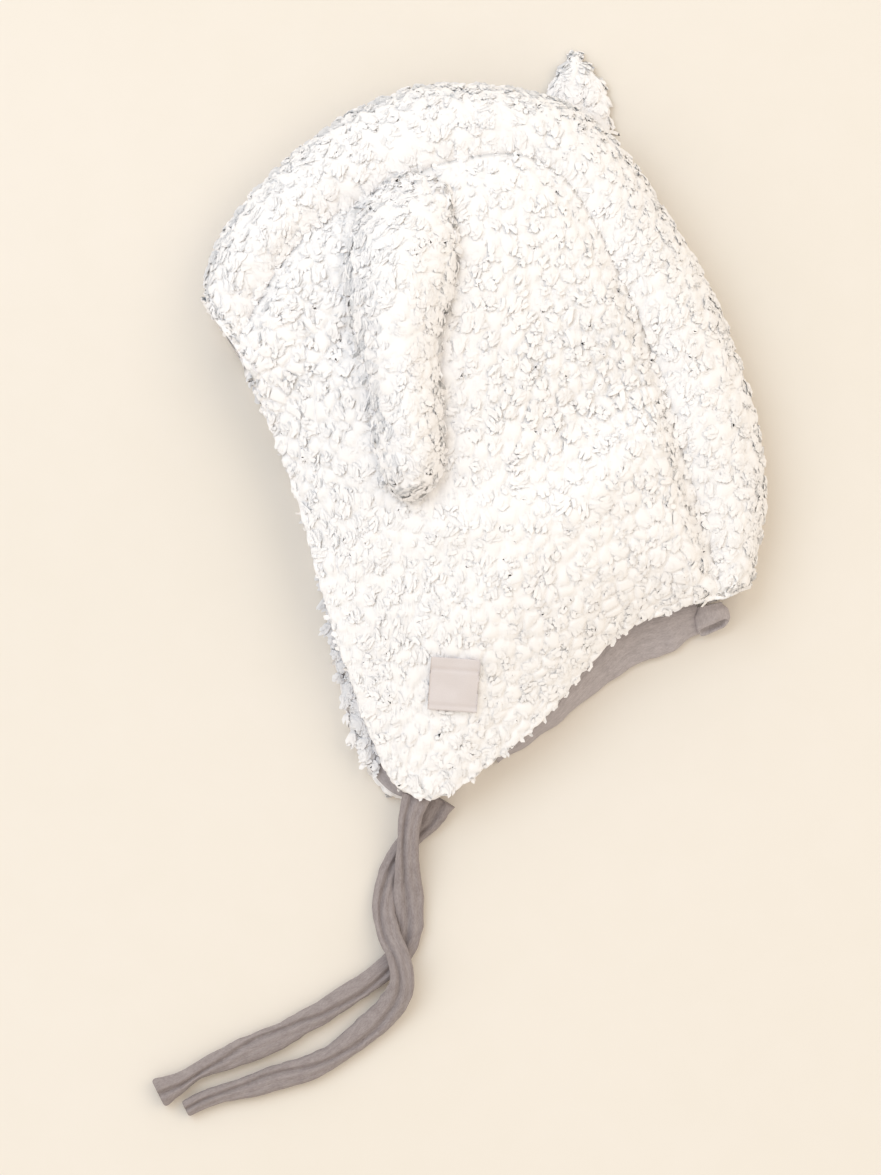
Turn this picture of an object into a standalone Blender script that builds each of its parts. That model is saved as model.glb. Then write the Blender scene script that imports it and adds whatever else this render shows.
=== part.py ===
"""Baby hat of teddy fleece with long floppy ears, lying on its side.

Seen from above, +X runs from the forehead to the back of the head and +Y from the flap tip to the crown.
The hat is a hollow pouch: a near side, a fold along the crown and a far side that lies flat at z = 0.
A section of the pouch starts at the near rim, climbs over the near side to the seam, goes round the crown
fold and comes back along the far side to the far rim. Sections fan out from the forehead to the nape.
"""
import math

import bmesh
import bpy
import numpy as np
from mathutils import Vector
from mathutils.bvhtree import BVHTree

# Driving dimensions, in metres
HAT_WIDTH = 0.2130        # forehead to the back of the head
HAT_LENGTH = 0.2706       # crown to the tip of the ear flap
HAT_DEPTH = 0.0500        # height of the near side above the surface
FLEECE_WALL = 0.0070      # backing and pile together
RIM_WALL = 0.0050         # the same at the turned rim
LINING_WALL = 0.0016
LIP_ROUNDING = 0.35       # how far a rim bulges, as a share of its wall
GROOVE_DEPTH = 0.0030     # the seam's valley in the pile
GROOVE_WIDTH = 0.0090
FAR_SEAM_SHIFT = 0.0080   # the far seam lies this much further from the crown fold
EAR_LENGTH = 0.1230
EAR_WIDTH = 0.0380
EAR_THICKNESS = 0.0140    # the near ear, lying loose
EAR_PRESSED = 0.0075      # the far ear, under the hat
LABEL_WIDTH = 0.0185
LABEL_LENGTH = 0.0200
LABEL_WALL = 0.0010
BAND_REACH = 0.0140       # how far the turned lining shows past the nape rim
BAND_WALL = 0.0028
ROLL_WIDTH = 0.0132
ROLL_THICKNESS = 0.0068
ROLL_LENGTH = 0.0110
ROLL_WALL = 0.0018
TIE_DIAMETER = 0.0070

# Clearances, in metres
SEAM_GAP = 0.0003         # between two pieces that are sewn together
LINING_GAP = 0.0009       # between the fleece and its lining, at the rim
LINING_SLACK = 0.0012     # how much more the lining stands off inside the hat
LAID_GAP = 0.0006         # between a piece and the fleece that it lies on

# Numbers of steps in the grids
STEPS_PER_SECTION = 3
NEAR_STEPS = 14
FOLD_STEPS = 6
FAR_STEPS = 8
HEIGHT_REACH = 0.0015     # what lies on the fleece clears its highest point within this distance, metres
LINING_INSET_STEPS = 2    # columns of the grid that the lining leaves free at forehead and nape
EAR_RINGS = 22
EAR_SIDES = 18
BAND_RINGS = 22
TIE_POINTS = 34

# One row for each section, from forehead to nape. Places are shares of HAT_WIDTH and HAT_LENGTH from the
# lower left corner, heights are shares of HAT_DEPTH, and far_out says how far the far rim lies outside the
# near rim, as a share of HAT_WIDTH.
SECTION_COLUMNS = ("crest_x", "crest_y", "seam_x", "seam_y", "rim_x", "rim_y",
                   "fold_z", "seam_z", "crown_z", "rim_z", "far_out")
SECTIONS = (
    (0.000, 0.691, 0.057, 0.631, 0.084, 0.588, 0.31, 0.60, 0.60, 0.58, 0.000),
    (0.014, 0.757, 0.104, 0.701, 0.107, 0.541, 0.34, 0.68, 0.72, 0.56, -0.007),
    (0.061, 0.822, 0.168, 0.771, 0.140, 0.480, 0.37, 0.76, 0.82, 0.54, -0.011),
    (0.154, 0.897, 0.264, 0.827, 0.177, 0.389, 0.39, 0.81, 0.92, 0.54, -0.011),
    (0.264, 0.959, 0.368, 0.867, 0.211, 0.291, 0.40, 0.83, 0.98, 0.52, -0.004),
    (0.386, 0.996, 0.461, 0.892, 0.252, 0.192, 0.40, 0.84, 1.00, 0.48, 0.014),
    (0.529, 0.996, 0.564, 0.897, 0.300, 0.087, 0.40, 0.84, 1.00, 0.42, 0.028),
    (0.654, 0.968, 0.639, 0.867, 0.350, 0.017, 0.40, 0.84, 1.00, 0.37, 0.016),
    (0.746, 0.909, 0.693, 0.808, 0.430, 0.008, 0.40, 0.83, 0.99, 0.39, -0.007),
    (0.818, 0.827, 0.739, 0.737, 0.529, 0.062, 0.39, 0.81, 0.96, 0.43, -0.014),
    (0.886, 0.737, 0.788, 0.645, 0.615, 0.120, 0.38, 0.79, 0.92, 0.46, -0.014),
    (0.948, 0.628, 0.832, 0.544, 0.690, 0.189, 0.36, 0.75, 0.85, 0.48, -0.014),
    (0.989, 0.515, 0.868, 0.445, 0.762, 0.240, 0.34, 0.69, 0.77, 0.49, -0.012),
    (1.000, 0.410, 0.900, 0.361, 0.830, 0.262, 0.32, 0.62, 0.66, 0.50, -0.008),
    (0.975, 0.294, 0.925, 0.279, 0.886, 0.272, 0.28, 0.53, 0.53, 0.49, 0.000),
)

# Main dents and folds of the near side: centre as shares of the hat's width and length, half length and half
# width as shares of HAT_WIDTH, direction in degrees from +X, and rise as a share of HAT_DEPTH.
FOLD_COLUMNS = ("x", "y", "half_length", "half_width", "direction", "rise")
FOLDS = (
    (0.20, 0.62, 0.26, 0.075, 80.0, -0.09),
    (0.60, 0.64, 0.17, 0.100, 75.0, -0.08),
    (0.70, 0.55, 0.14, 0.090, 35.0, -0.13),
    (0.47, 0.38, 0.12, 0.045, 12.0, 0.05),
    (0.68, 0.42, 0.14, 0.045, 42.0, 0.06),
    (0.26, 0.64, 0.04, 0.030, 60.0, -0.07),
    (0.52, 0.27, 0.20, 0.110, 20.0, 0.07),
    (0.12, 0.78, 0.10, 0.045, 50.0, 0.05),
)

# Ears: share of the length from the root, breadth of the near and the far ear as shares of EAR_WIDTH,
# and thickness as a share of its own size.
EAR_COLUMNS = ("place", "near_breadth", "far_breadth", "thickness")
EAR_SECTIONS = (
    (0.00, 0.42, 0.42, 0.16),
    (0.03, 0.62, 0.62, 0.42),
    (0.08, 0.78, 0.76, 0.72),
    (0.16, 0.95, 0.90, 0.92),
    (0.27, 1.00, 0.95, 1.00),
    (0.42, 0.88, 0.90, 1.00),
    (0.54, 0.66, 0.80, 0.92),
    (0.67, 0.68, 0.76, 0.95),
    (0.80, 0.71, 0.72, 1.00),
    (0.90, 0.66, 0.55, 0.95),
    (0.96, 0.47, 0.30, 0.75),
    (1.00, 0.14, 0.10, 0.40),
)
# The ears' middle lines in the same shares of the hat's width and length
NEAR_EAR_ROUTE = ((0.398, 0.862), (0.368, 0.797), (0.352, 0.740), (0.348, 0.668), (0.352, 0.612),
                  (0.361, 0.556), (0.368, 0.500), (0.370, 0.448), (0.368, 0.407))
FAR_EAR_ROUTE = ((0.407, 0.831), (0.475, 0.765), (0.575, 0.778), (0.643, 0.860), (0.666, 0.958),
                 (0.661, 1.046))

LABEL_CENTRE = (0.446, 0.161)
LABEL_TURN = -4.0         # degrees
LABEL_STEPS = 6

# The turned lining along the nape rim: section number, and how much of BAND_REACH shows
BAND_COLUMNS = ("section", "reach")
BAND = ((8.9, 0.10), (9.5, 0.42), (10.0, 0.50), (10.3, 0.62), (10.8, 0.90), (11.4, 0.86), (11.9, 1.00),
        (12.4, 1.00), (12.8, 0.92), (13.2, 0.80), (13.63, 0.72))
# Across the band: share of its reach and height of its middle as a share of RIM_WALL
BAND_ACROSS = ((-0.30, 2.25), (0.10, 2.10), (0.45, 1.60), (0.78, 1.00), (1.00, 0.55))

# The sleeve end at the nape corner: share of its length, of its half width and of its half thickness,
# down its outside and back up its hollow
ROLL_CENTRE = (0.900, 0.272)
ROLL_DIRECTION = -78.0    # degrees from +X
ROLL_RISE = 0.0118        # height of its middle where it leaves the hat
ROLL_DROOP = 0.0066       # how much lower its open end lies
ROLL_OUTSIDE = ((0.00, 0.72, 0.62), (0.12, 0.90, 0.88), (0.45, 1.00, 1.00), (0.85, 1.00, 1.00),
                (1.00, 0.95, 0.90))
ROLL_HOLLOW = ((1.00, 1.00), (0.45, 0.90), (0.25, 0.75))

# Routes of the two ties, in metres from the hat's own origin
TIE_NEAR_ROUTE = (
    (-0.0258, -0.1405, 0.0128), (-0.0280, -0.1490, 0.0124), (-0.0287, -0.1568, 0.0114),
    (-0.0290, -0.1650, 0.0096), (-0.0289, -0.1742, 0.0062), (-0.0285, -0.1840, 0.0040),
    (-0.0290, -0.1930, 0.0035), (-0.0325, -0.2012, 0.0035), (-0.0386, -0.2074, 0.0035),
    (-0.0462, -0.2128, 0.0035), (-0.0545, -0.2182, 0.0035), (-0.0625, -0.2236, 0.0035),
    (-0.0688, -0.2269, 0.0035), (-0.0764, -0.2314, 0.0035), (-0.0844, -0.2350, 0.0035),
    (-0.0912, -0.2376, 0.0035), (-0.0992, -0.2411, 0.0035), (-0.1068, -0.2443, 0.0035),
    (-0.1151, -0.2493, 0.0037), (-0.1225, -0.2530, 0.0042),
)
TIE_FAR_ROUTE = (
    (-0.0168, -0.1419, 0.0062), (-0.0219, -0.1508, 0.0042), (-0.0276, -0.1568, 0.0035),
    (-0.0336, -0.1650, 0.0035), (-0.0372, -0.1750, 0.0036), (-0.0380, -0.1840, 0.0050),
    (-0.0360, -0.1930, 0.0082), (-0.0325, -0.2012, 0.0109), (-0.0312, -0.2092, 0.0100),
    (-0.0326, -0.2162, 0.0072), (-0.0372, -0.2228, 0.0046), (-0.0438, -0.2288, 0.0036),
    (-0.0509, -0.2345, 0.0035), (-0.0585, -0.2400, 0.0035), (-0.0680, -0.2447, 0.0035),
    (-0.0787, -0.2478, 0.0035), (-0.0882, -0.2510, 0.0035), (-0.0984, -0.2535, 0.0035),
    (-0.1060, -0.2560, 0.0035), (-0.1121, -0.2590, 0.0035),
)
# How thick each tie is along its length, as shares of TIE_DIAMETER at equal steps from the hat
TIE_NEAR_FULLNESS = (1.00, 0.98, 0.96, 0.96, 0.96, 1.00, 1.06, 0.98, 1.04, 1.10, 0.92, 0.90, 1.20)
TIE_FAR_FULLNESS = (1.00, 0.94, 0.94, 0.96, 0.96, 0.98, 1.10, 1.12, 1.00, 1.04, 1.02, 0.86, 0.84)

FLEECE_COLOUR = (0.93, 0.90, 0.86, 1.0)
JERSEY_COLOUR = (0.43, 0.38, 0.37, 1.0)
LABEL_COLOUR = (0.77, 0.70, 0.67, 1.0)


def column(rows, names, name):
    """One named column of a table as an array."""
    return np.array([row[names.index(name)] for row in rows], dtype=float)


def smooth_curve(values, places):
    """Cubic curve through values given at whole numbers, its slopes taken from the neighbouring values."""
    values = np.asarray(values, dtype=float)
    slopes = np.gradient(values, axis=0)
    start = np.clip(np.floor(places).astype(int), 0, len(values) - 2)
    f = places - start
    if values.ndim > 1:
        f = f[:, None]
    a, b = values[start], values[start + 1]
    return ((2 * f ** 3 - 3 * f ** 2 + 1) * a + (f ** 3 - 2 * f ** 2 + f) * slopes[start]
            + (3 * f ** 2 - 2 * f ** 3) * b + (f ** 3 - f ** 2) * slopes[start + 1])


def smooth_step(values):
    """0 below 0, 1 above 1, and an even S between."""
    v = np.clip(values, 0.0, 1.0)
    return v * v * (3.0 - 2.0 * v)


def unit(vectors):
    """Vectors at length 1 along the last axis."""
    return vectors / np.maximum(np.linalg.norm(vectors, axis=-1, keepdims=True), 1e-9)


def plan(share_x, share_y):
    """A point of the surface from its shares of the hat's width and length."""
    return np.stack([(np.asarray(share_x) - 0.5) * HAT_WIDTH, (np.asarray(share_y) - 0.5) * HAT_LENGTH], axis=-1)


def route_points(route, count):
    """Points at equal steps along the smooth curve through a route, and the share of the way of each."""
    route = np.asarray(route, dtype=float)
    fine = smooth_curve(route, np.linspace(0.0, len(route) - 1.0, 40 * len(route)))
    run = np.concatenate([[0.0], np.cumsum(np.linalg.norm(np.diff(fine, axis=0), axis=1))])
    share = np.linspace(0.0, 1.0, count)
    points = np.stack([np.interp(share * run[-1], run, fine[:, k]) for k in range(fine.shape[1])], axis=1)
    return points, share


def material(name, colour, roughness):
    """Plain Principled material."""
    made = bpy.data.materials.new(name)
    made.use_nodes = True
    shader = made.node_tree.nodes["Principled BSDF"]
    shader.inputs["Base Color"].default_value = colour
    shader.inputs["Roughness"].default_value = roughness
    shader.inputs["Metallic"].default_value = 0.0
    made.diffuse_color = colour
    return made


def mesh_object(name, points, faces, look):
    """A mesh object of the given points and faces, shaded smooth, in the hat's collection."""
    mesh = bpy.data.meshes.new(name)
    mesh.from_pydata([tuple(p) for p in points], [], faces)
    body = bmesh.new()
    body.from_mesh(mesh)
    bmesh.ops.recalc_face_normals(body, faces=body.faces)
    body.to_mesh(mesh)
    body.free()
    mesh.shade_smooth()
    mesh.materials.append(look)
    made = bpy.data.objects.new(name, mesh)
    PARTS.objects.link(made)
    return made


def loft(name, loops, look, start_cap, end_cap):
    """Closed loops of equal length joined one to the next, with a list of faces over each open end."""
    rings, sides = loops.shape[:2]
    ring = np.arange(sides)
    faces = []
    for i in range(rings - 1):
        here, there = i * sides + ring, (i + 1) * sides + ring
        faces += [tuple(int(v) for v in q) for q in zip(here, np.roll(here, -1), np.roll(there, -1), there)]
    last = (rings - 1) * sides
    faces += [tuple(reversed(face)) for face in start_cap]
    faces += [tuple(last + v for v in face) for face in end_cap]
    return mesh_object(name, loops.reshape(-1, 3), faces, look)


def wall_piece(name, outer, inner, look, lips=(False, False)):
    """A wall between an outer and an inner grid. A lip rounds the edge at the first or the last row."""
    parts = [outer]
    if lips[1]:
        parts.append(lip_row(outer, inner, -1, -2))
    parts.append(inner[:, ::-1])
    if lips[0]:
        parts.append(lip_row(outer, inner, 0, 1))
    loops = np.concatenate(parts, axis=1)
    count = outer.shape[1]
    inner_start = count + int(lips[1])
    back = [inner_start + count - 1 - j for j in range(count)]
    cap = [(j, j + 1, back[j + 1], back[j]) for j in range(count - 1)]
    if lips[1]:
        cap.append((count - 1, count, back[count - 1]))
    if lips[0]:
        cap.append((0, back[0], loops.shape[1] - 1))
    return loft(name, loops, look, cap, cap)


def lip_row(outer, inner, edge, next_to_edge):
    """The middle of a wall's edge, pushed out from the wall to round it."""
    away = unit(outer[:, edge] - outer[:, next_to_edge])
    wall = np.linalg.norm(outer[:, edge] - inner[:, edge], axis=-1, keepdims=True)
    middle = (outer[:, edge] + inner[:, edge]) / 2 + away * wall * LIP_ROUNDING
    return middle[:, None]


def set_back(grid, edge, next_to_edge):
    """A copy of a grid whose edge row is drawn in by half the seam gap."""
    made = grid.copy()
    made[:, edge] += unit(grid[:, next_to_edge] - grid[:, edge]) * SEAM_GAP / 2
    return made


def section_values():
    """Every column of the section table, read at each step from forehead to nape."""
    places = np.linspace(0.0, len(SECTIONS) - 1.0, (len(SECTIONS) - 1) * STEPS_PER_SECTION + 1)
    return places, {name: smooth_curve(column(SECTIONS, SECTION_COLUMNS, name), places)
                    for name in SECTION_COLUMNS}


def rim_outward(rim):
    """Unit vectors in plan that point out of the hat across its rim."""
    along = unit(np.gradient(rim, axis=0))
    return np.stack([along[:, 1], -along[:, 0]], axis=1)


def base_surface(values):
    """The pouch without dents: near side, two quarters of an ellipse round the fold, flat far side."""
    crest = plan(values["crest_x"], values["crest_y"])[:, None]
    seam = plan(values["seam_x"], values["seam_y"])[:, None]
    rim = plan(values["rim_x"], values["rim_y"])[:, None]
    depth = {key: values[key][:, None] * HAT_DEPTH for key in ("fold_z", "seam_z", "crown_z", "rim_z")}
    run = np.linalg.norm(rim - seam, axis=-1, keepdims=True)
    far_seam = seam + unit(rim - seam) * np.minimum(FAR_SEAM_SHIFT, 0.3 * run)
    far_rim = rim + (rim_outward(rim[:, 0]) * (values["far_out"] * HAT_WIDTH)[:, None])[:, None]

    u = np.linspace(1.0, 0.0, NEAR_STEPS + 1)[None, :]
    bulge = depth["crown_z"] - (depth["seam_z"] + depth["rim_z"]) / 2
    near_xy = seam + (rim - seam) * u[..., None]
    near_z = depth["seam_z"] * (1 - u) + depth["rim_z"] * u + bulge * np.sin(math.pi * u) * (1.35 - 0.7 * u)

    angle = np.linspace(math.pi / 2, 0.0, FOLD_STEPS + 1)[None, 1:]
    up_xy = seam + (crest - seam) * np.cos(angle)[..., None]
    up_z = depth["fold_z"] + (depth["seam_z"] - depth["fold_z"]) * np.sin(angle)
    angle = np.linspace(0.0, math.pi / 2, FOLD_STEPS + 1)[None, 1:]
    down_xy = far_seam + (crest - far_seam) * np.cos(angle)[..., None]
    down_z = depth["fold_z"] * (1 - np.sin(angle))

    crowding = 1.0 + 0.6 * smooth_step(run[..., 0] / (4 * EAR_WIDTH))
    v = np.linspace(0.0, 1.0, FAR_STEPS + 1)[None, 1:] ** crowding
    far_xy = far_seam + (far_rim - far_seam) * v[..., None]
    far_z = np.zeros(far_xy.shape[:2])

    xy = np.concatenate([near_xy, up_xy, down_xy, far_xy], axis=1)
    z = np.concatenate([near_z, up_z, down_z, far_z], axis=1)
    rimness = np.concatenate([np.broadcast_to(u, near_z.shape), np.zeros_like(up_z), np.zeros_like(down_z), v],
                             axis=1)
    return np.concatenate([xy, z[..., None]], axis=2), rimness


def surface_normals(grid):
    """Unit normals of a grid that point away from the hollow."""
    across = np.cross(np.gradient(grid, axis=0), np.gradient(grid, axis=1))
    normals = unit(across)
    near = normals[:, :NEAR_STEPS, 2].mean()
    return normals * (1.0 if near > 0 else -1.0)


def near_relief(xy):
    """Height that the dents and folds of the near side add at points in plan."""
    total = np.zeros(xy.shape[:-1])
    for row in FOLDS:
        fold = dict(zip(FOLD_COLUMNS, row))
        offset = xy - plan(fold["x"], fold["y"])
        turn = math.radians(fold["direction"])
        along = offset[..., 0] * math.cos(turn) + offset[..., 1] * math.sin(turn)
        across = offset[..., 1] * math.cos(turn) - offset[..., 0] * math.sin(turn)
        reach = (along / (fold["half_length"] * HAT_WIDTH)) ** 2 + (across / (fold["half_width"] * HAT_WIDTH)) ** 2
        total += fold["rise"] * HAT_DEPTH * np.exp(-reach)
    return total


def ear_values(share, breadth_name):
    """Half breadth and thickness share of an ear at shares of its length."""
    place = column(EAR_SECTIONS, EAR_COLUMNS, "place")
    index = np.interp(share, place, np.arange(len(place)))
    breadth = smooth_curve(column(EAR_SECTIONS, EAR_COLUMNS, breadth_name), index)
    thickness = smooth_curve(column(EAR_SECTIONS, EAR_COLUMNS, "thickness"), index)
    return breadth * EAR_WIDTH / 2, thickness


def ear_middle(route, count):
    """Points along an ear of EAR_LENGTH that follows a route from its root, and their shares."""
    points, share = route_points(plan(*np.array(route).T), count)
    run = np.linalg.norm(np.diff(points, axis=0), axis=1).sum()
    root = points[0]
    return root + (points - root) * EAR_LENGTH / run, share


def far_lift(xy, spread):
    """Height that the far side is lifted by where it lies on the far ear, spread wider by some length."""
    middle, share = ear_middle(FAR_EAR_ROUTE, 60)
    half, thickness = ear_values(share, "far_breadth")
    distance = np.linalg.norm(xy[..., None, :] - middle, axis=-1)
    beyond = distance - half
    nearest = beyond.argmin(axis=-1)
    beyond = beyond.min(axis=-1)
    soft_edge = EAR_WIDTH * 0.35
    fall = 1.0 - smooth_step((beyond - EAR_PRESSED * 0.6 - spread) / soft_edge)
    return (EAR_PRESSED * np.maximum(thickness[nearest], 0.8) + LAID_GAP) * fall


def build_walls():
    """The grids of the pouch: fleece outside and inside, and lining outside and inside."""
    places, values = section_values()
    base, rimness = base_surface(values)
    normals = surface_normals(base)
    end = np.minimum(places, places[-1] - places)[:, None]
    at_rim = np.maximum(smooth_step((rimness - 0.75) / 0.25), 1.0 - smooth_step(end))
    wall = (FLEECE_WALL - (FLEECE_WALL - RIM_WALL) * at_rim)[..., None]

    crest = NEAR_STEPS + FOLD_STEPS
    fold_z = base[:, crest:crest + 1, 2]
    height = base[..., 2] / fold_z
    seam_z = base[:, NEAR_STEPS:NEAR_STEPS + 1, 2] / fold_z
    near_share = np.clip((height - 1.0) / (seam_z - 1.0), 0.0, 1.0)
    near_share[:, :NEAR_STEPS] = 1.0
    near_share[:, crest:] = 0.0
    far_share = np.clip(1.0 - height, 0.0, 1.0) ** 1.5
    far_share[:, :crest] = 0.0
    near_shift = near_relief(base[..., :2]) * near_share ** 2
    shift = np.zeros_like(base)
    shift[..., 2] = near_shift + far_lift(base[..., :2], 0.0) * far_share
    lining_shift = np.zeros_like(base)
    lining_shift[..., 2] = near_shift + far_lift(base[..., :2], EAR_WIDTH * 0.52) * far_share

    groove = np.zeros(base.shape[:2])
    for seam in (NEAR_STEPS, crest + FOLD_STEPS):
        away = np.linalg.norm(base - base[:, seam:seam + 1], axis=-1)
        groove += GROOVE_DEPTH * np.exp(-(away / GROOVE_WIDTH) ** 2)
    groove *= smooth_step(end + 0.3)

    outer = base + shift - normals * groove[..., None]
    inner = base + shift - normals * wall
    stand_off = wall + LINING_GAP + LINING_SLACK * (1.0 - at_rim[..., None])
    lining_outer = base + lining_shift - normals * stand_off
    lining_inner = lining_outer - normals * LINING_WALL
    return values, outer, inner, lining_outer, lining_inner


def build_fleece(outer, inner):
    """Near side panel, centre gusset and far side panel, cut from the pouch along its two seams."""
    near_seam = NEAR_STEPS
    far_seam = NEAR_STEPS + 2 * FOLD_STEPS
    near = slice(0, near_seam + 1)
    middle = slice(near_seam, far_seam + 1)
    far = slice(far_seam, None)
    wall_piece("side_panel_near", set_back(outer[:, near], -1, -2), set_back(inner[:, near], -1, -2),
               FLEECE, lips=(True, False))
    strip = [set_back(set_back(grid[:, middle], 0, 1), -1, -2) for grid in (outer, inner)]
    wall_piece("centre_gusset", strip[0], strip[1], FLEECE)
    wall_piece("side_panel_far", set_back(outer[:, far], 0, 1), set_back(inner[:, far], 0, 1),
               FLEECE, lips=(False, True))


def height_finder(outer):
    """A function that gives the height of the near side's outer surface at a point in plan."""
    grid = outer[:, :NEAR_STEPS + FOLD_STEPS + 1]
    columns, rows = grid.shape[:2]
    index = np.arange(columns * rows).reshape(columns, rows)
    quads = np.stack([index[:-1, :-1], index[1:, :-1], index[1:, 1:], index[:-1, 1:]], axis=-1).reshape(-1, 4)
    tree = BVHTree.FromPolygons([Vector(p) for p in grid.reshape(-1, 3)], quads.tolist())
    above = 10 * HAT_DEPTH

    def height(x, y):
        hit = tree.ray_cast(Vector((x, y, above)), Vector((0.0, 0.0, -1.0)))[0]
        if hit is None:
            hit = tree.find_nearest(Vector((x, y, HAT_DEPTH)))[0]
        return hit.z

    def highest_near(x, y):
        around = ((0.0, 0.0), (1.0, 0.0), (-1.0, 0.0), (0.0, 1.0), (0.0, -1.0))
        return max(height(x + HEIGHT_REACH * a, y + HEIGHT_REACH * b) for a, b in around)

    return highest_near


def build_ear(name, route, breadth_name, thickness, ground, tuck):
    """A soft tongue: rings across its route, flat where it lies and crowned above.

    tuck is how much of the thickness lies below the ring's widest line.
    """
    middle, share = ear_middle(route, EAR_RINGS)
    half, fullness = ear_values(share, breadth_name)
    along = unit(np.gradient(middle, axis=0))
    aside = np.stack([-along[:, 1], along[:, 0]], axis=1)
    angle = np.linspace(0.0, 2 * math.pi, EAR_SIDES, endpoint=False)
    sine = np.sin(angle)
    rise = np.where(sine >= 0, tuck + (1 - tuck) * np.abs(sine) ** 0.8, tuck * (1 - np.sqrt(np.abs(sine))))
    xy = middle[:, None] + aside[:, None] * (half[:, None] * np.cos(angle))[..., None]
    floor = np.array([[ground(*point) for point in ring] for ring in xy])
    z = floor + rise[None, :] * (thickness * fullness)[:, None]
    loops = np.concatenate([xy, z[..., None]], axis=2)
    cap = [tuple(range(EAR_SIDES))]
    return loft(name, loops, FLEECE, cap, cap)


def build_label(height):
    """A small cloth rectangle that lies on the flap's fleece."""
    centre = plan(*LABEL_CENTRE)
    turn = math.radians(LABEL_TURN)
    side = np.linspace(-0.5, 0.5, LABEL_STEPS + 1)
    x, y = np.meshgrid(side * LABEL_WIDTH, side * LABEL_LENGTH, indexing="ij")
    flat = np.stack([centre[0] + x * math.cos(turn) - y * math.sin(turn),
                     centre[1] + x * math.sin(turn) + y * math.cos(turn)], axis=-1)
    low = np.array([[height(*point) for point in row] for row in flat]) + LAID_GAP
    bottom = np.concatenate([flat, low[..., None]], axis=2)
    top = bottom + np.array([0.0, 0.0, LABEL_WALL])
    return wall_piece("label", top, bottom, LABEL_CLOTH)


def build_band(values):
    """The lining's turned edge: a folded strip that droops from between the nape rims to the surface."""
    rim = plan(values["rim_x"], values["rim_y"])
    outward = rim_outward(rim)
    sections = column(BAND, BAND_COLUMNS, "section")
    place = np.linspace(sections[0], sections[-1], BAND_RINGS)
    index = place * STEPS_PER_SECTION
    centre = smooth_curve(rim, index)
    away = unit(smooth_curve(outward, index))
    reach = smooth_curve(column(BAND, BAND_COLUMNS, "reach"),
                         np.interp(place, sections, np.arange(len(sections)))) * BAND_REACH
    across = np.array([row[0] for row in BAND_ACROSS])
    rise = np.array([row[1] for row in BAND_ACROSS]) * RIM_WALL
    xy = centre[:, None] + away[:, None] * (reach[:, None] * across)[..., None]
    middle = np.concatenate([xy, np.broadcast_to(rise, xy.shape[:2])[..., None]], axis=2)
    normal = unit(np.cross(np.gradient(middle, axis=0), np.gradient(middle, axis=1)))
    normal *= np.sign(normal[..., 2:3].mean())
    half = BAND_WALL / 2
    return wall_piece("nape_band", middle + normal * half, middle - normal * half, JERSEY, lips=(True, True))


def build_roll():
    """The open sleeve end of the turned lining: oval rings down its outside and back up its hollow."""
    turn = math.radians(ROLL_DIRECTION)
    forward = np.array([math.cos(turn), math.sin(turn), -ROLL_DROOP / ROLL_LENGTH])
    aside = np.array([-math.sin(turn), math.cos(turn), 0.0])
    root = np.append(plan(*ROLL_CENTRE), ROLL_RISE)
    rings = [(place, wide * ROLL_WIDTH / 2, thick * ROLL_THICKNESS / 2) for place, wide, thick in ROLL_OUTSIDE]
    rings += [(place, share * (ROLL_WIDTH / 2 - ROLL_WALL), share * (ROLL_THICKNESS / 2 - ROLL_WALL))
              for place, share in ROLL_HOLLOW]
    sides = 18
    angle = np.linspace(0.0, 2 * math.pi, sides, endpoint=False)
    loops = np.array([root + forward * place * ROLL_LENGTH + aside * (wide * np.cos(angle))[:, None]
                      + np.array([0.0, 0.0, 1.0]) * (thick * np.sin(angle))[:, None]
                      for place, wide, thick in rings])
    cap = [tuple(range(sides))]
    return loft("nape_roll", loops, JERSEY, cap, cap)


def build_tie(name, route, fullness):
    """A soft tube on a smooth curve through the tie's route."""
    points, share = route_points(route, TIE_POINTS)
    full = smooth_curve(fullness, share * (len(fullness) - 1))
    points[:, 2] = np.maximum(points[:, 2], full * TIE_DIAMETER / 2)
    curve = bpy.data.curves.new(name, "CURVE")
    curve.dimensions = "3D"
    curve.bevel_depth = TIE_DIAMETER / 2
    curve.bevel_resolution = 2
    curve.use_fill_caps = True
    spline = curve.splines.new("POLY")
    spline.points.add(TIE_POINTS - 1)
    for point, place, radius in zip(spline.points, points, full):
        point.co = (*place, 1.0)
        point.radius = radius
    curve.materials.append(JERSEY)
    made = bpy.data.objects.new(name, curve)
    PARTS.objects.link(made)
    return made


def stand_on_origin(objects):
    """Move the hat's own pieces so that the middle of their box is at x = y = 0 and they stand on z = 0."""
    corners = np.array([tuple(v.co) for made in objects for v in made.data.vertices])
    low, high = corners.min(axis=0), corners.max(axis=0)
    shift = Vector((-(low[0] + high[0]) / 2, -(low[1] + high[1]) / 2, -low[2]))
    for made in objects:
        made.location = shift


for old in list(bpy.data.objects):
    bpy.data.objects.remove(old, do_unlink=True)
PARTS = bpy.data.collections.new("baby_hat_with_ears")
bpy.context.scene.collection.children.link(PARTS)
FLEECE = material("white_teddy_fleece", FLEECE_COLOUR, 0.95)
JERSEY = material("grey_melange_jersey", JERSEY_COLOUR, 0.9)
LABEL_CLOTH = material("pale_pink_label_cloth", LABEL_COLOUR, 0.8)

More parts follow.
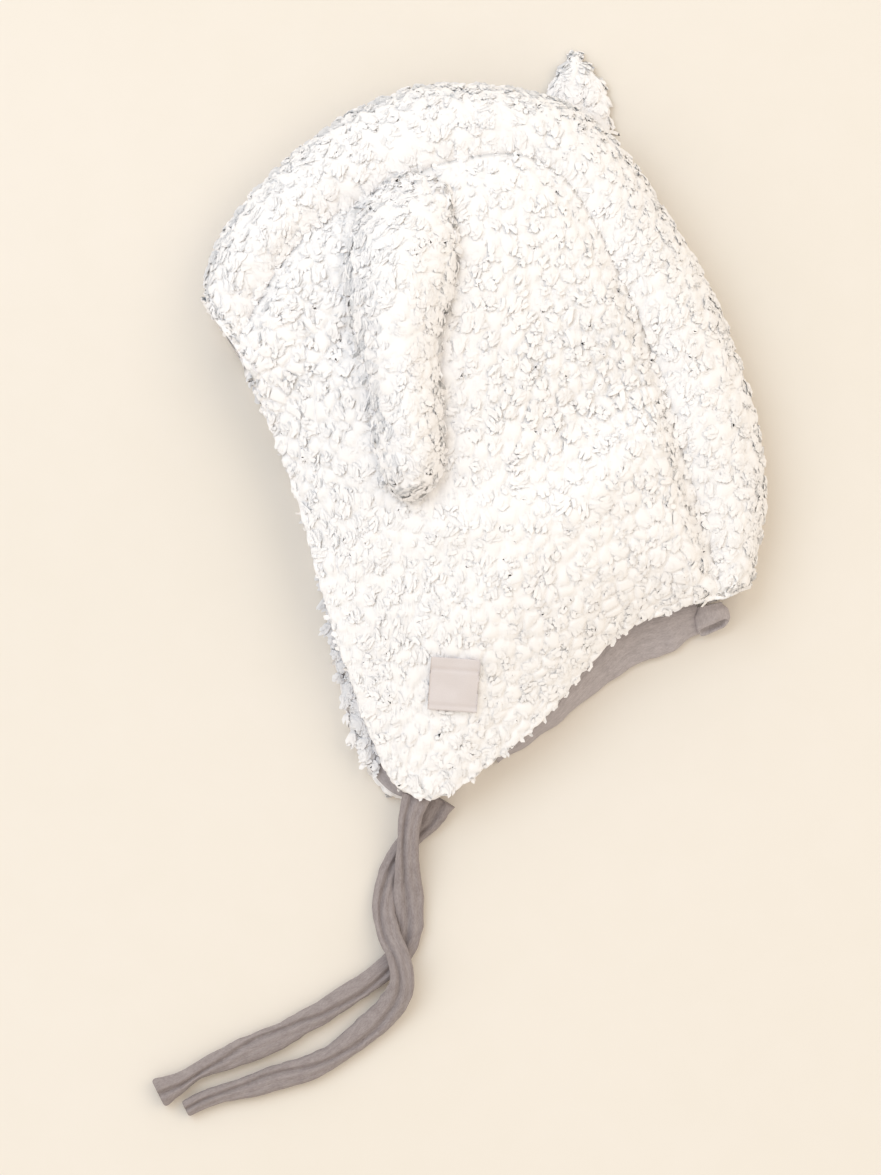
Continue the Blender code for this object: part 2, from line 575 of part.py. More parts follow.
section_columns, fleece_outer, fleece_inner, lining_out, lining_in = build_walls()
build_fleece(fleece_outer, fleece_inner)
sparse = (slice(LINING_INSET_STEPS, -LINING_INSET_STEPS, 2), slice(None, None, 2))
wall_piece("lining", lining_out[sparse], lining_in[sparse], JERSEY, lips=(True, True))
near_height = height_finder(fleece_outer)
build_ear("ear_near", NEAR_EAR_ROUTE, "near_breadth", EAR_THICKNESS,
          lambda x, y: near_height(x, y) + LAID_GAP, 0.35)
build_ear("ear_far", FAR_EAR_ROUTE, "far_breadth", EAR_PRESSED, lambda x, y: 0.0, 0.40)
build_label(near_height)
build_band(section_columns)
build_roll()
stand_on_origin(list(PARTS.objects))
build_tie("tie_near", TIE_NEAR_ROUTE, TIE_NEAR_FULLNESS)
build_tie("tie_far", TIE_FAR_ROUTE, TIE_FAR_FULLNESS)
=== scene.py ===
"""Looks of a baby hat of white teddy fleece with long floppy ears, lying on its side on a cream floor.

The fleece is a backing with soft lumps and a pile of curled locks that lean together in tufts. Both read the
same scattered tuft centres, so a lump carries its own locks. The lining, the nape band, its rolled end and
the two ties are knitted jersey, and the label is a bare piece of cloth.
"""
import itertools
import math

import bpy
import numpy as np
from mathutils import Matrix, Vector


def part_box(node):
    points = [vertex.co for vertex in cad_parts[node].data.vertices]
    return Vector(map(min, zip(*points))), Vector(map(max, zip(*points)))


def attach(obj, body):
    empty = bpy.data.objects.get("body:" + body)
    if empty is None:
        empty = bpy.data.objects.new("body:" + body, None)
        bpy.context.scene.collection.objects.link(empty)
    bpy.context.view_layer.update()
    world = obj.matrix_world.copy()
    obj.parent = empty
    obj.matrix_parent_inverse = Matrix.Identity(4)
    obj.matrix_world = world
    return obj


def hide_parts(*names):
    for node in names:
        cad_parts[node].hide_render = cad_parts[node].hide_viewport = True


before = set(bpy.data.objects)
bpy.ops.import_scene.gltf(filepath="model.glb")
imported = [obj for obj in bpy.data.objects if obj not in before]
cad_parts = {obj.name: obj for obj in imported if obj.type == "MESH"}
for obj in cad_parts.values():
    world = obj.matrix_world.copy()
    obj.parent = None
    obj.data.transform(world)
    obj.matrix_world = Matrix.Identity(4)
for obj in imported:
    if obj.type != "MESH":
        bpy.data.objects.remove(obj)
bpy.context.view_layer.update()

# The hat's own sizes, in metres, mostly as its solids have them
HAT_WIDTH = 0.2130
HAT_LENGTH = 0.2706
HAT_DEPTH = 0.0500
FLEECE_WALL = 0.0070
RIM_WALL = 0.0050
LINING_WALL = 0.0016
GROOVE_DEPTH = 0.0030
GROOVE_WIDTH = 0.0090
FAR_SEAM_SHIFT = 0.0080
EAR_LENGTH = 0.1230
EAR_WIDTH = 0.0380
EAR_THICKNESS = 0.0140
EAR_PRESSED = 0.0075
ROOT_SLACK = 0.45         # the share of an ear's thickness that its pile loses where it is sewn in
ROOT_SHARE = 0.30         # and the share of its length over which it comes back
LABEL_WIDTH = 0.0185
LABEL_LENGTH = 0.0200
LABEL_WALL = 0.0005
BAND_REACH = 0.0140
BAND_WALL = 0.0026
ROLL_WIDTH = 0.0132
ROLL_THICKNESS = 0.0068
ROLL_LENGTH = 0.0110
ROLL_WALL = 0.0018
TIE_WIDTH = 0.0088
LABEL_LIFT = 0.0008       # how far the label lies above the fleece
LABEL_CREASE = 0.0005
LABEL_WAVE = 0.0005
WAVE_SIZE = 0.0070
LABEL_CORNER = 0.0009     # how much higher its corners stand
LABEL_EDGE = 0.0020       # how far round the label the pile thins out
LINING_CREASE = 0.0005
CREASE_SIZE = 0.0110
BAND_PUCKER = 0.0009
WRINKLES = ((0.0034, 0.004, 0.05), (0.0013, 0.002, 0.02))    # size, reach round the tie, and rise as a share
ROLL_SLANT = 0.0018       # how far the roll's mouth leans back
ROLL_LIP = 0.0030         # how much higher its lower lip stands
ROLL_SHOWN = 0.82         # share of ROLL_LENGTH that the scene gives it
LINING_GAP = 0.0009
LINING_SLACK = 0.0012
LAID_GAP = 0.0006
FLOOR_GAP = 0.0002        # nothing soft lies lower than this

# The pile
PILE_DEPTH = 0.0018       # how far the backing lies under the fleece's outer surface
ROOT_DEPTH = 0.0006       # how much deeper the locks start
LUMP_HEIGHT = 0.0015
TUFT_SPACING = 0.0058
LOCK_RISE = 0.0006
LOCK_WIDTH = 0.0021
LOCK_FLAT = 0.62          # a lock's thickness as a share of its width
LOCK_CURL = 0.0007
LOCK_SHADE = 0.06         # how much of a lock's own roundness its shading shows, the rest is the fleece's
LOCK_TURN = 0.32          # how far a lock's flat side turns away from facing outwards
LOCK_STAND = 0.9          # how much more the locks rise where the fleece stands upright
PARTING = 0.45             # how much deeper the pile parts in the hollows of the near side
LOCK_GATHER = 0.65        # how far the tips are drawn to the middle of their tuft
LOCK_LEAN = 0.0016        # how far a tuft's tips lean to a side of its own
LOCK_COMB = 0.0017        # how far all tips lie towards the flap
RIM_LAY = 0.25            # how far locks lie down at a rim, as a share of elsewhere
RIM_REACH = 0.0090        # how far in from the rim that goes
UNDERSIDE_SHARE = 0.12    # how thick the pile stands on the side that lies on the floor
FLEECE_SEED = 7
LIP_STEPS = 6
INNER_STEP = 6            # the inside of a wall has one row for so many outside
LINING_INSET = 8          # columns of its grid by which the lining ends inside the fleece
HEM_ROWS = 4              # rows of the far rim's inside that carry pile too
HEM_STAND = 3.5           # how much higher the locks stand there
HEM_END = 6.25            # up to this section
COMB_WAY = (-0.15, -1.0, 0.0)

# The hat's grid: sections from forehead to nape, and rows of the near side, each half of the fold and the
# far side
HAT_COLUMNS, NEAR_ROWS, FOLD_ROWS, FAR_ROWS = 321, 140, 22, 60
MAP_CELL = 0.0016         # cell of the map of the near side's heights

# How many locks each piece carries
NEAR_LOCKS = 12000
GUSSET_LOCKS = 12000
FAR_LOCKS = 2500
HEM_LOCKS = 1400
NEAR_EAR_LOCKS = 5500
FAR_EAR_LOCKS = 1800

# From forehead to nape: shares of HAT_WIDTH and HAT_LENGTH, heights as shares of HAT_DEPTH, and how far the
# far rim lies outside the near one as a share of HAT_WIDTH
SECTION_COLUMNS = ("crest_x", "crest_y", "seam_x", "seam_y", "rim_x", "rim_y",
                   "fold_z", "seam_z", "crown_z", "rim_z", "far_out")
SECTIONS = (
    (0.000, 0.691, 0.057, 0.631, 0.084, 0.588, 0.31, 0.60, 0.60, 0.58, 0.000),
    (0.014, 0.757, 0.104, 0.701, 0.107, 0.541, 0.34, 0.68, 0.72, 0.56, -0.007),
    (0.061, 0.822, 0.168, 0.771, 0.140, 0.480, 0.37, 0.76, 0.82, 0.54, -0.011),
    (0.154, 0.897, 0.264, 0.827, 0.177, 0.389, 0.39, 0.81, 0.92, 0.54, -0.011),
    (0.264, 0.959, 0.368, 0.867, 0.211, 0.291, 0.40, 0.83, 0.98, 0.52, -0.004),
    (0.386, 0.996, 0.461, 0.892, 0.252, 0.192, 0.40, 0.84, 1.00, 0.48, 0.014),
    (0.529, 0.996, 0.564, 0.897, 0.300, 0.087, 0.40, 0.84, 1.00, 0.42, 0.028),
    (0.654, 0.968, 0.639, 0.867, 0.350, 0.017, 0.40, 0.84, 1.00, 0.37, 0.016),
    (0.746, 0.909, 0.693, 0.808, 0.430, 0.008, 0.40, 0.83, 0.99, 0.39, -0.007),
    (0.818, 0.827, 0.739, 0.737, 0.529, 0.062, 0.39, 0.81, 0.96, 0.43, -0.014),
    (0.886, 0.737, 0.788, 0.645, 0.615, 0.120, 0.38, 0.79, 0.92, 0.46, -0.014),
    (0.948, 0.628, 0.832, 0.544, 0.690, 0.189, 0.36, 0.75, 0.85, 0.48, -0.014),
    (0.989, 0.515, 0.868, 0.445, 0.762, 0.240, 0.34, 0.69, 0.77, 0.49, -0.012),
    (1.000, 0.410, 0.900, 0.361, 0.830, 0.262, 0.32, 0.62, 0.66, 0.50, -0.008),
    (0.975, 0.294, 0.925, 0.279, 0.886, 0.272, 0.28, 0.53, 0.53, 0.49, 0.000),
)

# Dents and folds of the near side: centre, half length and half width, direction in degrees, and rise
FOLD_COLUMNS = ("x", "y", "half_length", "half_width", "direction", "rise")
FOLDS = (
    (0.20, 0.62, 0.26, 0.075, 80.0, -0.09),
    (0.60, 0.64, 0.17, 0.100, 75.0, -0.08),
    (0.70, 0.55, 0.14, 0.090, 35.0, -0.13),
    (0.47, 0.38, 0.12, 0.045, 12.0, 0.05),
    (0.68, 0.42, 0.14, 0.045, 42.0, 0.06),
    (0.26, 0.64, 0.04, 0.030, 60.0, -0.07),
    (0.52, 0.27, 0.20, 0.110, 20.0, 0.07),
    (0.12, 0.78, 0.10, 0.045, 50.0, 0.05),
)

# Ears: share of the length from the root, breadths as shares of EAR_WIDTH, share of the full thickness. The
# near ear is up to 2.7 mm a side broader than in the solids, where its pile spreads.
EAR_COLUMNS = ("place", "near_breadth", "far_breadth", "thickness")
EAR_SECTIONS = (
    (0.00, 0.42, 0.42, 0.16),
    (0.03, 0.62, 0.62, 0.42),
    (0.08, 0.78, 0.76, 0.72),
    (0.16, 1.04, 0.90, 0.92),
    (0.27, 1.11, 0.95, 1.00),
    (0.42, 1.00, 0.90, 1.00),
    (0.54, 0.80, 0.80, 0.92),
    (0.67, 0.74, 0.76, 0.95),
    (0.80, 0.71, 0.72, 1.00),
    (0.90, 0.66, 0.55, 0.95),
    (0.96, 0.47, 0.30, 0.75),
    (1.00, 0.14, 0.10, 0.40),
)
NEAR_EAR_ROUTE = ((0.398, 0.862), (0.368, 0.797), (0.352, 0.740), (0.348, 0.668), (0.352, 0.612),
                  (0.361, 0.556), (0.368, 0.500), (0.370, 0.448), (0.368, 0.407))
FAR_EAR_ROUTE = ((0.407, 0.831), (0.475, 0.765), (0.575, 0.778), (0.643, 0.860), (0.666, 0.958),
                 (0.661, 1.046))

LABEL_CENTRE = (0.446, 0.161)
LABEL_TURN = -4.0         # degrees

# The turned lining along the nape rim: section number, and how much of BAND_REACH shows, which is up to
# 5 mm less than in the solids before section 12.4
BAND_COLUMNS = ("section", "reach")
BAND = ((8.9, 0.04), (9.5, 0.18), (10.0, 0.26), (10.3, 0.36), (10.8, 0.58), (11.4, 0.70), (11.9, 0.86),
        (12.4, 0.96), (12.8, 0.92), (13.2, 0.78), (13.63, 0.66), (13.85, 0.60))
# Across the band: share of its reach, and height as a share of RIM_WALL
BAND_ACROSS = ((-0.30, 2.25), (0.10, 2.10), (0.45, 1.60), (0.78, 1.00), (1.00, 0.55))
BAND_LOW = 0.40           # share of that height where the band starts

ROLL_CENTRE = (0.900, 0.272)
ROLL_DIRECTION = -78.0    # degrees from +X
ROLL_RISE = 0.0118
ROLL_DROOP = 0.0066

# Routes of the two ties, in metres, the same points as in the solids' source
TIE_NEAR_ROUTE = (
    (-0.0258, -0.1405, 0.0128), (-0.0280, -0.1490, 0.0124), (-0.0287, -0.1568, 0.0114),
    (-0.0290, -0.1650, 0.0096), (-0.0289, -0.1742, 0.0062), (-0.0285, -0.1840, 0.0040),
    (-0.0290, -0.1930, 0.0035), (-0.0325, -0.2012, 0.0035), (-0.0386, -0.2074, 0.0035),
    (-0.0462, -0.2128, 0.0035), (-0.0545, -0.2182, 0.0035), (-0.0625, -0.2236, 0.0035),
    (-0.0688, -0.2269, 0.0035), (-0.0764, -0.2314, 0.0035), (-0.0844, -0.2350, 0.0035),
    (-0.0912, -0.2376, 0.0035), (-0.0992, -0.2411, 0.0035), (-0.1068, -0.2443, 0.0035),
    (-0.1151, -0.2493, 0.0037), (-0.1225, -0.2530, 0.0042),
)
TIE_FAR_ROUTE = (
    (-0.0168, -0.1419, 0.0062), (-0.0219, -0.1508, 0.0042), (-0.0276, -0.1568, 0.0035),
    (-0.0336, -0.1650, 0.0035), (-0.0372, -0.1750, 0.0036), (-0.0380, -0.1840, 0.0050),
    (-0.0360, -0.1930, 0.0082), (-0.0325, -0.2012, 0.0109), (-0.0312, -0.2092, 0.0100),
    (-0.0326, -0.2162, 0.0072), (-0.0372, -0.2228, 0.0046), (-0.0438, -0.2288, 0.0036),
    (-0.0509, -0.2345, 0.0035), (-0.0585, -0.2400, 0.0035), (-0.0680, -0.2447, 0.0035),
    (-0.0787, -0.2478, 0.0035), (-0.0882, -0.2510, 0.0035), (-0.0984, -0.2535, 0.0035),
    (-0.1060, -0.2560, 0.0035), (-0.1121, -0.2590, 0.0035),
)
# Breadth and height of each tie at equal steps from the hat, in shares of TIE_WIDTH, and where its crease
# runs, from -1 at one edge to 1 at the other
TIE_COLUMNS = ("breadth", "height", "crease")
TIE_NEAR_FORM = (
    (1.25, 0.56, 0.2), (0.92, 0.66, 0.4), (1.05, 0.64, 0.3), (1.30, 0.60, 0.1), (1.18, 0.56, 0.0),
    (0.95, 0.56, -0.3), (0.98, 0.60, -0.5), (1.00, 0.62, -0.2), (1.02, 0.60, 0.3), (1.14, 0.62, 0.5),
    (1.02, 0.62, 0.1), (0.72, 0.64, -0.3), (1.28, 0.78, -0.1),
)
TIE_FAR_FORM = (
    (1.55, 0.42, -0.2), (0.90, 0.50, -0.3), (0.95, 0.58, 0.0), (1.00, 0.60, 0.2), (1.00, 0.58, 0.4),
    (1.02, 0.56, 0.2), (1.22, 0.60, -0.1), (1.18, 0.62, -0.4), (1.00, 0.60, -0.2), (1.12, 0.62, 0.2),
    (1.05, 0.60, 0.4), (0.80, 0.58, 0.1), (0.76, 0.60, 0.0),
)

# A tie's far end is rolled in: how far past the end, in metres, and the share of the section's size
ROLLED_END = ((0.0007, 0.98), (0.0012, 0.90), (0.0014, 0.80), (0.0011, 0.70), (0.0002, 0.60),
              (-0.0014, 0.50), (-0.0030, 0.38))

# Photo's frame: its size in pixels, the pixel that the origin lies under, and the size of a pixel
PHOTO_WIDTH, PHOTO_HEIGHT = 881, 1175
ORIGIN_PIXEL = (484.0, 425.0)
PIXEL = 0.00038
CAMERA_HEIGHT = 2.6
SENSOR = 36.0
BOARD_REACH = 8.0         # half the side of the board, large enough for low views

ROOM_COLOUR = (1.0, 0.93, 0.82, 1.0)
ROOM_STRENGTH = 0.83

# Name, size in metres, power in watts, colour and place of each soft light, aimed at the hat
LIGHTS = (
    ("upper_left", 2.6, 36.5, (0.64, 0.82, 1.0), (-1.30, 1.30, 2.8)),
    ("left", 2.0, 4.5, (0.92, 0.96, 1.0), (-1.90, 0.20, 1.3)),
    ("right", 2.4, 16.0, (1.0, 0.87, 0.67), (1.60, 0.70, 2.5)),
)


def column(rows, names, name):
    """One named column of a table as an array."""
    return np.array([row[names.index(name)] for row in rows], dtype=float)


def smooth_curve(values, places):
    """Cubic curve through values given at whole numbers, its slopes taken from the neighbouring values."""
    values = np.asarray(values, dtype=float)
    slopes = np.gradient(values, axis=0)
    start = np.clip(np.floor(places).astype(int), 0, len(values) - 2)
    f = places - start
    if values.ndim > 1:
        f = f[:, None]
    a, b = values[start], values[start + 1]
    return ((2 * f ** 3 - 3 * f ** 2 + 1) * a + (f ** 3 - 2 * f ** 2 + f) * slopes[start]
            + (3 * f ** 2 - 2 * f ** 3) * b + (f ** 3 - f ** 2) * slopes[start + 1])


def table_curve(rows, names, name, places):
    """The smooth curve through one named column of a table."""
    return smooth_curve(column(rows, names, name), places)


def smooth_step(values):
    """0 below 0, 1 above 1, and an even S between."""
    v = np.clip(values, 0.0, 1.0)
    return v * v * (3.0 - 2.0 * v)


def rising(low, values):
    """From low where values are 0, by an even S, to 1 where they are 1."""
    return low + (1.0 - low) * smooth_step(values)


def unit(vectors):
    """Vectors at length 1 along the last axis."""
    return vectors / np.maximum(np.linalg.norm(vectors, axis=-1, keepdims=True), 1e-12)


def surface_normals(grid):
    """Unit normals of a grid of points, from the cross product of its two directions."""
    return unit(np.cross(np.gradient(grid, axis=0), np.gradient(grid, axis=1)))


def quad_areas(grid):
    """Area of each quad of a grid of points: half the cross product of its diagonals."""
    diagonals = grid[1:, 1:] - grid[:-1, :-1], grid[:-1, 1:] - grid[1:, :-1]
    return np.linalg.norm(np.cross(*diagonals), axis=-1) / 2


def between(values, i, j, s, t):
    """Values of a grid at shares s and t of the way across its cells i, j."""
    low = values[i, j] * (1 - s) + values[i + 1, j] * s
    high = values[i, j + 1] * (1 - s) + values[i + 1, j + 1] * s
    return low * (1 - t) + high * t


def raised(xy, z):
    """Points in plan with their heights."""
    return np.concatenate([xy, z[..., None]], axis=-1)


def round_angles(sides):
    """Angles at equal steps once round a section."""
    return np.linspace(0.0, 2 * math.pi, sides, endpoint=False)


def plan(share_x, share_y):
    """A point seen from above from its shares of the hat's width and length."""
    shares = np.stack([np.asarray(share_x), np.asarray(share_y)], axis=-1)
    return (shares - 0.5) * np.array([HAT_WIDTH, HAT_LENGTH])


def route_points(route, count):
    """Points at equal steps along the smooth curve through a route, and the share of the way of each."""
    route = np.asarray(route, dtype=float)
    fine = smooth_curve(route, np.linspace(0.0, len(route) - 1.0, 40 * len(route)))
    run = np.concatenate([[0.0], np.cumsum(np.linalg.norm(np.diff(fine, axis=0), axis=1))])
    share = np.linspace(0.0, 1.0, count)
    points = np.stack([np.interp(share * run[-1], run, fine[:, k]) for k in range(fine.shape[1])], axis=1)
    return points, share


def lattice_random(cells, seed):
    """A steady random number from 0 to 1 for each whole-numbered cell, by mixing the bits of its indices."""
    word = (cells.astype(np.int64) & 0xFFFFF).astype(np.uint64)
    mix = word[..., 0] * np.uint64(73856093) ^ word[..., 1] * np.uint64(19349663)
    mix = mix ^ word[..., 2] * np.uint64(83492791) ^ np.uint64(seed * 2654435761 % 2 ** 32)
    mix = (mix ^ (mix >> np.uint64(13))) * np.uint64(1274126177) & np.uint64(0xFFFFFFFF)
    mix = (mix ^ (mix >> np.uint64(15))) * np.uint64(2246822519) & np.uint64(0xFFFFFFFF)
    return (mix ^ (mix >> np.uint64(16))).astype(float) / 2.0 ** 32


def soft_noise(points, size, seed):
    """Value noise from -1 to 1: random lattice values of the given cell size, blended by an even S."""
    place = points / size
    cell = np.floor(place)
    f = smooth_step(place - cell)
    total = np.zeros(points.shape[:-1])
    for corner in itertools.product((0, 1), repeat=3):
        share = np.prod(np.where(np.array(corner) == 1, f, 1.0 - f), axis=-1)
        total += share * lattice_random(cell + np.array(corner), seed)
    return total * 2.0 - 1.0


def nearest_tuft(points, seed):
    """The nearest of the tuft centres, one at a random place in each cell of a lattice.

    Gives the way to it, the distances to it and to the next one, both in cells, and its cell.
    """
    cell = np.floor(points / TUFT_SPACING)
    best = np.full(points.shape[:-1], np.inf)
    second = best.copy()
    way = np.zeros_like(points)
    home = np.zeros_like(points)
    for step in itertools.product((-1, 0, 1), repeat=3):
        here = cell + np.array(step)
        place = np.stack([lattice_random(here, seed + k) for k in range(3)], axis=-1)
        offset = (here + place) * TUFT_SPACING - points
        distance = np.linalg.norm(offset, axis=-1)
        closer = distance < best
        second = np.where(closer, best, np.minimum(second, distance))
        best = np.where(closer, distance, best)
        way = np.where(closer[..., None], offset, way)
        home = np.where(closer[..., None], here, home)
    return way, best / TUFT_SPACING, second / TUFT_SPACING, home


def lumps(points, seed):
    """Height from 0 to 1 of the pile's soft lumps: round over each tuft centre, creased between two."""
    bent = points + 0.25 * TUFT_SPACING * np.stack(
        [soft_noise(points, 2.2 * TUFT_SPACING, seed + 20 + k) for k in range(3)], axis=-1)
    nearest, second = nearest_tuft(bent, seed)[1:3]
    crease = smooth_step((second - nearest) / 0.30)
    return (0.30 + 0.70 * crease) * (1.0 - 0.55 * np.clip(nearest, 0.0, 1.0) ** 2)


def parting(points):
    """How deep the pile parts: 1 and more, by PARTING where the near side is hollow."""
    hollow = np.clip(-near_relief(points[..., :2] - SHIFT[:2]) / (0.10 * HAT_DEPTH), 0.0, 1.0)
    return 1.0 + PARTING * hollow * (points[..., 2] > HAT_DEPTH / 4)


def lump_rise(points, seed):
    """Height of the pile's lumps in metres, with deeper creases where the pile parts."""
    parted = parting(points)
    return (lumps(points, seed) * parted - 0.3 * (parted - 1.0)) * LUMP_HEIGHT


def mesh_piece(name, points, faces, looks, uv=None, normals=None):
    """A smooth mesh object of points and arrays of faces, riding on the hat. It may bring its own normals."""
    mesh = bpy.data.meshes.new(name)
    corner = np.concatenate([part.ravel() for part in faces]).astype(np.int32)
    sizes = np.concatenate([np.full(len(part), part.shape[1]) for part in faces])
    starts = np.concatenate([[0], np.cumsum(sizes)[:-1]]).astype(np.int32)
    mesh.vertices.add(len(points))
    mesh.vertices.foreach_set("co", np.asarray(points, np.float32).ravel())
    mesh.loops.add(len(corner))
    mesh.loops.foreach_set("vertex_index", corner)
    mesh.polygons.add(len(sizes))
    mesh.polygons.foreach_set("loop_start", starts)
    mesh.update(calc_edges=True)
    mesh.validate()
    if uv is not None:
        layer = mesh.uv_layers.new(name="cloth")
        layer.data.foreach_set("uv", np.asarray(uv, np.float32)[corner].ravel())
    mesh.shade_smooth()
    if normals is not None:
        mesh.normals_split_custom_set_from_vertices(normals)
    mesh.materials.append(looks)
    made = bpy.data.objects.new(name, mesh)
    bpy.context.scene.collection.objects.link(made)
    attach(made, "root")
    return made


def tube_faces(rings, sides, start=0):
    """Quads between closed rings of points, numbered from start."""
    index = start + np.arange(rings * sides).reshape(rings, sides)
    here, there = index[:-1], index[1:]
    next_here, next_there = np.roll(here, -1, axis=1), np.roll(there, -1, axis=1)
    return np.stack([here, next_here, next_there, there], axis=-1).reshape(-1, 4)


def closed_loft(loops):
    """Points and faces of closed rings joined one to the next, each end closed round its own middle."""
    rings, sides = loops.shape[:2]
    points = np.concatenate([loops.reshape(-1, 3), loops[:1].mean(axis=1), loops[-1:].mean(axis=1)])
    ring = np.arange(sides)
    first, last = rings * sides, (rings - 1) * sides
    start = np.stack([np.roll(ring, -1), ring, np.full(sides, first)], axis=1)
    end = np.stack([last + ring, last + np.roll(ring, -1), np.full(sides, first + 1)], axis=1)
    return points, [tube_faces(rings, sides), start, end]


def outward(points, faces):
    """The faces, turned round if the closed surface that they make has a negative volume."""
    total = 0.0
    for part in faces:
        corner = points[part]
        for k in range(1, part.shape[1] - 1):
            total += (corner[:, 0] * np.cross(corner[:, k], corner[:, k + 1])).sum()
    return faces if total > 0 else [part[:, ::-1] for part in faces]


def loft_uv(loops):
    """Lengths in metres along and round a loft, as its cloth's coordinates, with the two end middles last."""
    along = np.zeros(loops.shape[:2])
    steps = np.linalg.norm(np.diff(loops, axis=0), axis=-1)
    along[1:] = np.cumsum(steps, axis=0).mean(axis=1, keepdims=True)
    round_it = np.zeros(loops.shape[:2])
    round_it[:, 1:] = np.cumsum(np.linalg.norm(np.diff(loops, axis=1), axis=-1), axis=1).mean(axis=0)
    uv = np.stack([along, round_it], axis=-1).reshape(-1, 2)
    return np.concatenate([uv, uv[:1], uv[-1:]])


def loft_piece(name, solid, loops, looks):
    """A closed loft as an object in place of a solid, with its cloth's coordinates."""
    points, faces = closed_loft(loops)
    made = mesh_piece(name, points, outward(points, faces), looks, loft_uv(loops))
    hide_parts(solid)
    return made


def rim_outward(rim):
    """Unit vectors in plan that point out of the hat across its rim."""
    along = unit(np.gradient(rim, axis=0))
    return np.stack([along[:, 1], -along[:, 0]], axis=1)


def near_relief(xy):
    """Height that the dents and folds of the near side add: one Gaussian hill or hollow for each row."""
    total = np.zeros(xy.shape[:-1])
    for row in FOLDS:
        fold = dict(zip(FOLD_COLUMNS, row))
        offset = xy - plan(fold["x"], fold["y"])
        turn = math.radians(fold["direction"])
        along = offset[..., 0] * math.cos(turn) + offset[..., 1] * math.sin(turn)
        across = offset[..., 1] * math.cos(turn) - offset[..., 0] * math.sin(turn)
        reach = (along / fold["half_length"]) ** 2 + (across / fold["half_width"]) ** 2
        total += fold["rise"] * HAT_DEPTH * np.exp(-reach / HAT_WIDTH ** 2)
    return total


def ear_values(share, breadth_name):
    """Half breadth and thickness share of an ear at shares of its length."""
    place = column(EAR_SECTIONS, EAR_COLUMNS, "place")
    index = np.interp(share, place, np.arange(len(place)))
    breadth = table_curve(EAR_SECTIONS, EAR_COLUMNS, breadth_name, index)
    thickness = table_curve(EAR_SECTIONS, EAR_COLUMNS, "thickness", index)
    return breadth * EAR_WIDTH / 2, thickness


def ear_middle(route, count):
    """Points along an ear of EAR_LENGTH that follows a route from its root, and their shares."""
    points, share = route_points(plan(*np.array(route).T), count)
    run = np.linalg.norm(np.diff(points, axis=0), axis=1).sum()
    return points[0] + (points - points[0]) * EAR_LENGTH / run, share


def far_lift(xy, spread):
    """Height that the far side is lifted by where it lies on the far ear, spread wider by some length."""
    middle, share = ear_middle(FAR_EAR_ROUTE, 60)
    half, thickness = ear_values(share, "far_breadth")
    beyond = np.full(xy.shape[:-1], np.inf)
    full = np.zeros(xy.shape[:-1])
    for point, reach, thick in zip(middle, half, thickness):
        distance = np.linalg.norm(xy - point, axis=-1) - reach
        full = np.where(distance < beyond, thick, full)
        beyond = np.minimum(beyond, distance)
    fall = 1.0 - smooth_step((beyond - EAR_PRESSED * 0.6 - spread) / (EAR_WIDTH * 0.35))
    return (EAR_PRESSED * np.maximum(full, 0.8) + LAID_GAP) * fall


